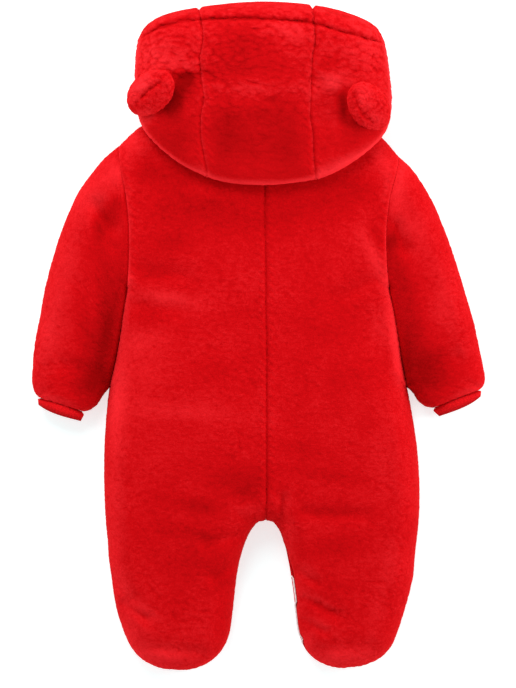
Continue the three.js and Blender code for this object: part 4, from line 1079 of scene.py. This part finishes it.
def earPiece(side):
    ear, look = ears[side], earLook
    turn = np.radians(ear["turn"])
    along, aside, swell = ballPoints(look["rings"], look["spokes"])
    halfLength, halfWidth = ear["length"] / 2 * along, ear["width"] / 2 * aside
    x = ear["x"] + halfLength * np.cos(turn) - halfWidth * np.sin(turn)
    y = ear["y"] + halfLength * np.sin(turn) + halfWidth * np.cos(turn)
    middleHeight = ear["middle"] + ear["slope"] * (x - ear["x"]) + look["lifted"] * (y - ear["y"])
    fromCrease = (aside - ear["off"] - ear["bend"] * np.cos(3 * along)) / look["creaseWidth"]
    length = smoothStep((ear["creased"] - np.abs(along)) / look["creaseEnd"])
    creased = np.exp(-np.abs(fromCrease) ** 1.5) * length
    puckers = look["pucker"] * np.sin(look["puckers"] * along)
    puckers *= np.exp(-(fromCrease / look["puckerWidth"]) ** 2)
    high = middleHeight + look["rise"] * swell - (ear["crease"] * creased + puckers) * np.clip(swell, 0, 1)
    low = middleHeight + (look["rise"] - look["flatter"]) * swell
    onHood = nearness([hoodSides], x, y)[0] > look["onHood"]
    seated = np.where(onHood, np.minimum(hoodTop(x, y) + look["clear"], middleHeight), low)
    points = np.stack([x, y, np.where(swell >= 0, high, np.maximum(low, seated))], -1)
    centre = np.array([ear["x"], ear["y"], ear["middle"]])
    normal = unit((points - centre) / np.array([ear["length"], ear["width"], 2 * look["rise"]]) ** 2)
    height, tone = pileHeight(points, pile["ear"])
    height = (height - pile["ear"]["height"] * pileSunk) * smoothStep(
        (swell - look["furFrom"]) / look["furBlend"])
    points = points + normal * height[:, None]
    # Painted shade darkens the colour along the ear's crease
    looks = {"pile": tone, "nap": 0.5 + napAndPaintedLight(points, "ear") - look["creasePaintedShade"] * creased}
    quads, fans = cappedTube(look["rings"] - 1, look["spokes"])
    return makeMesh(f"ear_cushion_{side}", points, quads.tolist() + fans.tolist(), looks)


# The white tape that shows between the front's edge and the back's at the right inseam. Its
# outer edge follows the inseam. Where shown is 0 the pile hides it, and there it lies tucked in by
# tuck and lower by raised. It waves by wave * sin(waves * station).
tape = {"width": 1.8, "thickness": 1.0, "edge": 0.8, "tuck": 1.6, "clear": 0.2, "raised": 2.6,
        "wave": 0.1, "waves": 9.0, "rows": 121, "around": 12, "endReach": 0.3,
        "shown": [[18.4, 0], [18.5, 1], [19.5, 1], [19.65, 0], [21.2, 0], [21.28, 0.8], [21.42, 0.8],
                  [21.5, 0]]}


def tapePiece():
    look = tape
    station = np.linspace(placket["from"], placket["to"], look["rows"])
    shown = np.interp(station, *np.array(look["shown"]).T)
    edge = innerAt("right", station)
    turn = 2 * np.pi * np.arange(look["around"]) / look["around"]
    half, lift = (np.sign(way(turn)) * np.abs(way(turn)) ** power
                  for way, power in ((np.cos, 0.5), (np.sin, 0.7)))
    middle = look["edge"] + look["width"] / 2 - (1 - shown) * look["tuck"]
    x = (edge[:, 0] + middle)[:, None] + (look["width"] / 2) * half[None, :]
    y = np.broadcast_to(edge[:, 1][:, None], x.shape)
    wave = look["wave"] * np.sin(station * look["waves"])[:, None]
    middleHeight = cut["sideSeam"] + look["thickness"] / 2 + look["clear"] + look["raised"] * shown[:, None]
    z = middleHeight + look["thickness"] / 2 * lift[None, :] + wave
    poles = np.array([[x[end].mean(), y[end, 0] + past, z[end].mean()]
                      for end, past in ((0, look["endReach"]), (-1, -look["endReach"]))])
    points = np.concatenate([np.dstack([x, y, z]).reshape(-1, 3), poles])
    quads, fans = cappedTube(*x.shape)
    return makeMesh("placket_tape_strip", points, quads.tolist() + fans.tolist())


# Machine stitches: short rounded threads, half sunk, along a line that lies on a surface.
# Each is an ellipsoid, length * cos(tilt), thickness * sin(tilt) * (cos, sin)(turn).
stitchLook = {"length": 3.0, "step": 4.0, "thickness": 0.8, "lift": 0.3, "rings": 5, "around": 6}


def stitchRow(name, line):
    look = stitchLook
    length = np.concatenate([[0], np.cumsum(np.linalg.norm(np.diff(line, axis=0), axis=1))])
    places = np.arange(look["step"], length[-1] - look["step"], look["step"])
    centres, ahead = (np.stack([np.interp(at, length, line[:, k]) for k in range(3)], -1)
                      for at in (places, places + 0.5))
    along = unit(ahead - centres)
    side = unit(np.cross(along, [0.0, 0.0, 1.0]))
    axes = np.stack([along, side, np.cross(side, along)], 1)
    aside, up, onward = ballPoints(look["rings"], look["around"])
    thick = look["thickness"] / 2
    local = np.stack([onward * look["length"] / 2, aside * thick, up * thick], -1)
    points = centres[:, None] + np.einsum("pk,nkc->npc", local, axes) + [0, 0, look["lift"]]
    start = (np.arange(len(centres)) * len(local))[:, None, None]
    faces = [(group[None] + start).reshape(-1, group.shape[1]).tolist()
             for group in cappedTube(look["rings"] - 1, look["around"], flip=True)]
    return makeMesh(name, points.reshape(-1, 3), faces[0] + faces[1])


def hemLine():
    last = len(hemStitches) - 1
    stations = np.linspace(hem["stitchesFrom"], last - hem["stitchesFrom"], 200)
    line = curveThrough(hemStitches)(stations)
    line[:, 2] = hoodTop(line[:, 0], line[:, 1])
    return line


# Materials
def linear(hexColour):
    srgb = np.array([int(hexColour[k:k + 2], 16) for k in (1, 3, 5)]) / 255
    return [*np.where(srgb <= 0.04045, srgb / 12.92, ((srgb + 0.055) / 1.055) ** 2.4), 1.0]


def addNode(tree, kind, values=None, links=None, **settings):
    node = tree.nodes.new(kind)
    for name, value in settings.items():
        setattr(node, name, value)
    for name, value in (values or {}).items():
        node.inputs[name].default_value = value
    for name, source in (links or {}).items():
        tree.links.new(source, node.inputs[name])
    return node


def newMaterial(name):
    material = bpy.data.materials.new(name)
    material.use_nodes = True
    material.node_tree.nodes.clear()
    return material, material.node_tree


def mathOf(tree, operation, *terms, **settings):
    numbers = {k: term for k, term in enumerate(terms) if isinstance(term, (int, float))}
    links = {k: term for k, term in enumerate(terms) if k not in numbers}
    return addNode(tree, "ShaderNodeMath", numbers, links, operation=operation, **settings).outputs[0]


def rampOf(tree, factor, stops):
    node = addNode(tree, "ShaderNodeValToRGB", links={"Fac": factor})
    while len(node.color_ramp.elements) < len(stops):
        node.color_ramp.elements.new(0.5)
    for element, (position, colour) in zip(node.color_ramp.elements, stops):
        element.position = position
        element.color = linear(colour)
    return node.outputs["Color"]


# Noise of a grain size in millimetres
def noiseOf(tree, size, where, **values):
    return addNode(tree, "ShaderNodeTexNoise", {"Scale": 1 / (size * metre), **values}, {"Vector": where})


# Strength, and height in metres, of a bump from a texture
def bumpOf(tree, strength, distance, height):
    node = addNode(tree, "ShaderNodeBump", {"Strength": strength, "Distance": distance},
                   {"Height": height})
    return {"Normal": node.outputs["Normal"]}


def surfaceOf(tree, values, links):
    shader = addNode(tree, "ShaderNodeBsdfPrincipled", values, links)
    addNode(tree, "ShaderNodeOutputMaterial", links={"Surface": shader.outputs["BSDF"]})


# Coral fleece, polyester, brushed and sheared: matt, with painted shade in the deep colour between
# the tufts, painted highlight on the lighter tips, and a soft bright sheen where the pile is seen from the
# side.
fleece = {
    "body": {"gap": "#8c0002", "mid": "#c6050c", "tip": "#f2262d", "tuft": 0.24, "grain": 1.6,
             "grained": 0.50, "rib": 2.6, "ribbed": 0.19, "bump": 0.30, "sheen": 0.25},
    "hood": {"gap": "#8c0002", "mid": "#c6060d", "tip": "#f42c33", "tuft": 0.42, "grain": 1.6,
             "grained": 0.40, "rib": 3.2, "ribbed": 0.12, "bump": 0.40, "sheen": 0.28},
    "ear": {"gap": "#880002", "mid": "#cc070e", "tip": "#f62c33", "tuft": 0.42, "grain": 1.6,
            "grained": 0.55, "rib": 3.2, "ribbed": 0.10, "bump": 0.60, "sheen": 0.28},
}
broadTone = {"size": 38.0, "amount": 0.20}  # slow changes of tone, in millimetres


# The tone is nap + tuft * (pile - 0.5) + grained * (grain - 0.5) + ribbed * (ribs - 0.5) + broad,
# where grain and ribs are noise, and the ribs are drawn out across the garment.
def fleeceMaterial(name, look):
    material, tree = newMaterial(name)
    where = addNode(tree, "ShaderNodeTexCoord").outputs["Object"]
    broad = noiseOf(tree, broadTone["size"], where, Detail=2.0)
    stretched = addNode(tree, "ShaderNodeMapping", {"Scale": (0.3, 1.0, 1.0)}, {"Vector": where})
    ribs = noiseOf(tree, look["rib"], stretched.outputs["Vector"], Detail=2.0)
    grain = noiseOf(tree, look["grain"], where, Detail=3.0, Roughness=0.65)
    # The nap look brings painted shade and painted highlight, the pile look painted shade between the tufts
    nap, tufted = (addNode(tree, "ShaderNodeAttribute", attribute_name=key) for key in ("nap", "pile"))
    parts = [(nap, 1.0), (tufted, look["tuft"]), (grain, look["grained"]), (ribs, look["ribbed"]),
             (broad, broadTone["amount"])]
    tone = addNode(tree, "ShaderNodeValue").outputs[0]
    tone.default_value = -0.5 * sum(amount for _, amount in parts[1:])
    for part, amount in parts:
        tone = mathOf(tree, "MULTIPLY_ADD", part.outputs["Fac"], amount, tone)
    colour = rampOf(tree, tone, [(0.0, look["gap"]), (0.5, look["mid"]), (1.0, look["tip"])])
    height = mathOf(tree, "MULTIPLY_ADD", ribs.outputs["Fac"], 0.5, grain.outputs["Fac"])
    surfaceOf(tree, {"Roughness": 0.92, "Specular IOR Level": 0.04, "Sheen Weight": look["sheen"],
                     "Sheen Roughness": 0.5, "Sheen Tint": linear("#ff2826")},
              {"Base Color": colour, **bumpOf(tree, look["bump"], 0.0012, height)})
    return material


# Polyester rib knit: smoother than the fleece, with a grain of 1.4 mm, coloured by the cuff's painted shade
def knitMaterial():
    material, tree = newMaterial("polyester rib knit")
    where = addNode(tree, "ShaderNodeTexCoord").outputs["Object"]
    grain = noiseOf(tree, 1.4, where, Detail=2.0).outputs["Fac"]
    tone = addNode(tree, "ShaderNodeAttribute", attribute_name="pile").outputs["Fac"]
    mixed = mathOf(tree, "MULTIPLY_ADD", tone, 0.7, grain)
    colour = rampOf(tree, mixed, [(0.4, "#a80408"), (1.0, "#ea151c")])
    surfaceOf(tree, {"Roughness": 0.9, "Specular IOR Level": 0.04, "Sheen Weight": 0.12,
                     "Sheen Roughness": 0.4, "Sheen Tint": linear("#ff3c3a")},
              {"Base Color": colour, **bumpOf(tree, 0.35, 0.0006, grain)})
    return material


# Cotton twill tape, bleached white, with slanting lines 0.8 mm apart. A wave texture repeats
# about 20 / (2 pi) times in a unit of its scale.
def tapeMaterial():
    material, tree = newMaterial("cotton twill tape")
    where = addNode(tree, "ShaderNodeTexCoord").outputs["Object"]
    turned = addNode(tree, "ShaderNodeMapping", {"Rotation": (0, 0, 0.8)}, {"Vector": where})
    weave = addNode(tree, "ShaderNodeTexWave", {"Scale": 1000 / 0.8 / 20, "Distortion": 1.0},
                    {"Vector": turned.outputs["Vector"]}).outputs["Fac"]
    colour = rampOf(tree, weave, [(0.0, "#efe9e6"), (0.7, "#ffffff")])
    surfaceOf(tree, {"Roughness": 0.8, "Specular IOR Level": 0.25},
              {"Base Color": colour, **bumpOf(tree, 0.3, 0.0003, weave)})
    return material


# Spun polyester sewing thread, dyed to match
def threadMaterial():
    material, tree = newMaterial("polyester thread")
    where = addNode(tree, "ShaderNodeTexCoord").outputs["Object"]
    twist = noiseOf(tree, 0.6, where).outputs["Fac"]
    surfaceOf(tree, {"Roughness": 0.6, "Specular IOR Level": 0.3},
              {"Base Color": rampOf(tree, twist, [(0.3, "#8c0206"), (0.8, "#b8080e")])})
    return material


bodyFleece = fleeceMaterial("brushed coral fleece", fleece["body"])
hoodFleece = fleeceMaterial("curled coral fleece", fleece["hood"])
earFleece = fleeceMaterial("curled coral fleece on ears", fleece["ear"])
ribKnit = knitMaterial()
print("materials made")


def dress(piece, material, slot, *nodes):
    piece.data.materials.append(material)
    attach(piece, "root")
    if nodes:
        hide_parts(*nodes)
    return piece


for side in sides:
    front = dress(bodyPanel(side, "front"), bodyFleece, "plush", f"front_{side}")
    back = dress(bodyPanel(side, "back"), bodyFleece, "plush", f"back_{side}")
    print("body panels made:", side)
    sleeve = dress(sleevePiece(side), bodyFleece, "plush", f"sleeve_{side}")
    cuff = dress(cuffPiece(side), ribKnit, "cuff", f"cuff_{side}")
    print("sleeve and cuff made:", side)
    hood = dress(hoodSidePiece(side), hoodFleece, "plush", f"hood_{side}")
    ear = dress(earPiece(side), earFleece, "plush", f"ear_{side}")
    print("hood side and ear made:", side)
hoodCentre = dress(hoodCentrePiece(), hoodFleece, "plush", "hood_centre")
dress(tapePiece(), tapeMaterial(), "tape", "placket_tape")
dress(stitchRow("hem_stitches", hemLine()), threadMaterial(), "plush")
print("hood centre, tape and stitches made")

# The floor, the light and the camera. The floor is matt white acrylic that glows a little, its colour
# tinted cyan so that the red light the garment bounces onto it comes out grey, and the room is a light
# tent, brightest low down all round.
studio = {
    "floor": "#c2e0e0", "floorReach": 6000.0, "floorLow": -0.4,  # millimetres
    "glow": 0.62, "high": 0.35, "low": 2.2,
    "lights": [  # name, power, size, place in metres
        ["top_softbox", 26.0, 1.2, (-0.5, 1.5, 1.5)],
        ["right_softbox", 16.0, 0.9, (1.9, 0.3, 0.9)],
    ],
}


def floorPiece():
    reach = studio["floorReach"]
    corners = [[x * reach, y * reach, studio["floorLow"]] for x, y in ((-1, -1), (1, -1), (1, 1), (-1, 1))]
    floor = makeMesh("studio_floor", np.array(corners), [(0, 1, 2, 3)])
    material, tree = newMaterial("matt white acrylic")
    surfaceOf(tree, {
        "Base Color": linear(studio["floor"]), "Roughness": 1.0, "Specular IOR Level": 0.0,
        "Emission Color": (1.0, 1.0, 1.0, 1.0), "Emission Strength": studio["glow"]}, {})
    floor.data.materials.append(material)


# A round softbox that faces the garment's middle
def areaLight(name, power, size, where):
    light = bpy.data.lights.new(name, "AREA")
    light.shape = "DISK"
    light.energy = power
    light.size = size
    lamp = newObject(name, light)
    lamp.location = where
    towards = -np.array(where)
    flat = np.hypot(towards[0], towards[1])
    lamp.rotation_euler = (np.arctan2(flat, -towards[2]), 0, np.arctan2(towards[0], -towards[1]) + np.pi)


# The tent's strength is high + (low - high) * (1 - up)^2, where up is 0 level and 1 overhead
def tentWorld():
    world = bpy.data.worlds.new("light_tent")
    bpy.context.scene.world = world
    world.use_nodes = True
    tree = world.node_tree
    tree.nodes.clear()
    towards = addNode(tree, "ShaderNodeTexCoord").outputs["Generated"]
    up = addNode(tree, "ShaderNodeSeparateXYZ", links={"Vector": towards}).outputs["Z"]
    down = mathOf(tree, "SUBTRACT", 1.0, up, use_clamp=True)
    squared = mathOf(tree, "POWER", down, 2.0)
    strength = mathOf(tree, "MULTIPLY_ADD", squared, studio["low"] - studio["high"], studio["high"])
    light = addNode(tree, "ShaderNodeBackground", {"Color": (1.0, 1.0, 1.0, 1.0)},
                    {"Strength": strength})
    addNode(tree, "ShaderNodeOutputWorld", links={"Surface": light.outputs["Background"]})


floorPiece()
tentWorld()
for light in studio["lights"]:
    areaLight(*light)
bpy.context.scene.view_settings.view_transform = "Standard"
bpy.context.scene.view_settings.look = "None"

# The photograph is taken from straight above with a long lens: it is 688 pixels high, one pixel
# is 1.1 mm at the seams, and the garment's middle is a little above the picture's.
view = {"pixel": 0.0011, "down": 688, "middle": (-0.0007, -0.0084), "away": 4.0, "level": 0.02,
        "sensor": 36.0, "farthest": 20}
camera = bpy.data.cameras.new("camera")
camera.sensor_fit = "VERTICAL"
camera.sensor_height = view["sensor"]
camera.lens = view["sensor"] * view["away"] / (view["pixel"] * view["down"])
camera.clip_end = view["farthest"]
cameraObject = newObject("camera", camera)
cameraObject.location = (*view["middle"], view["away"] + view["level"])
bpy.context.scene.camera = cameraObject

print("camera, light and floor made")
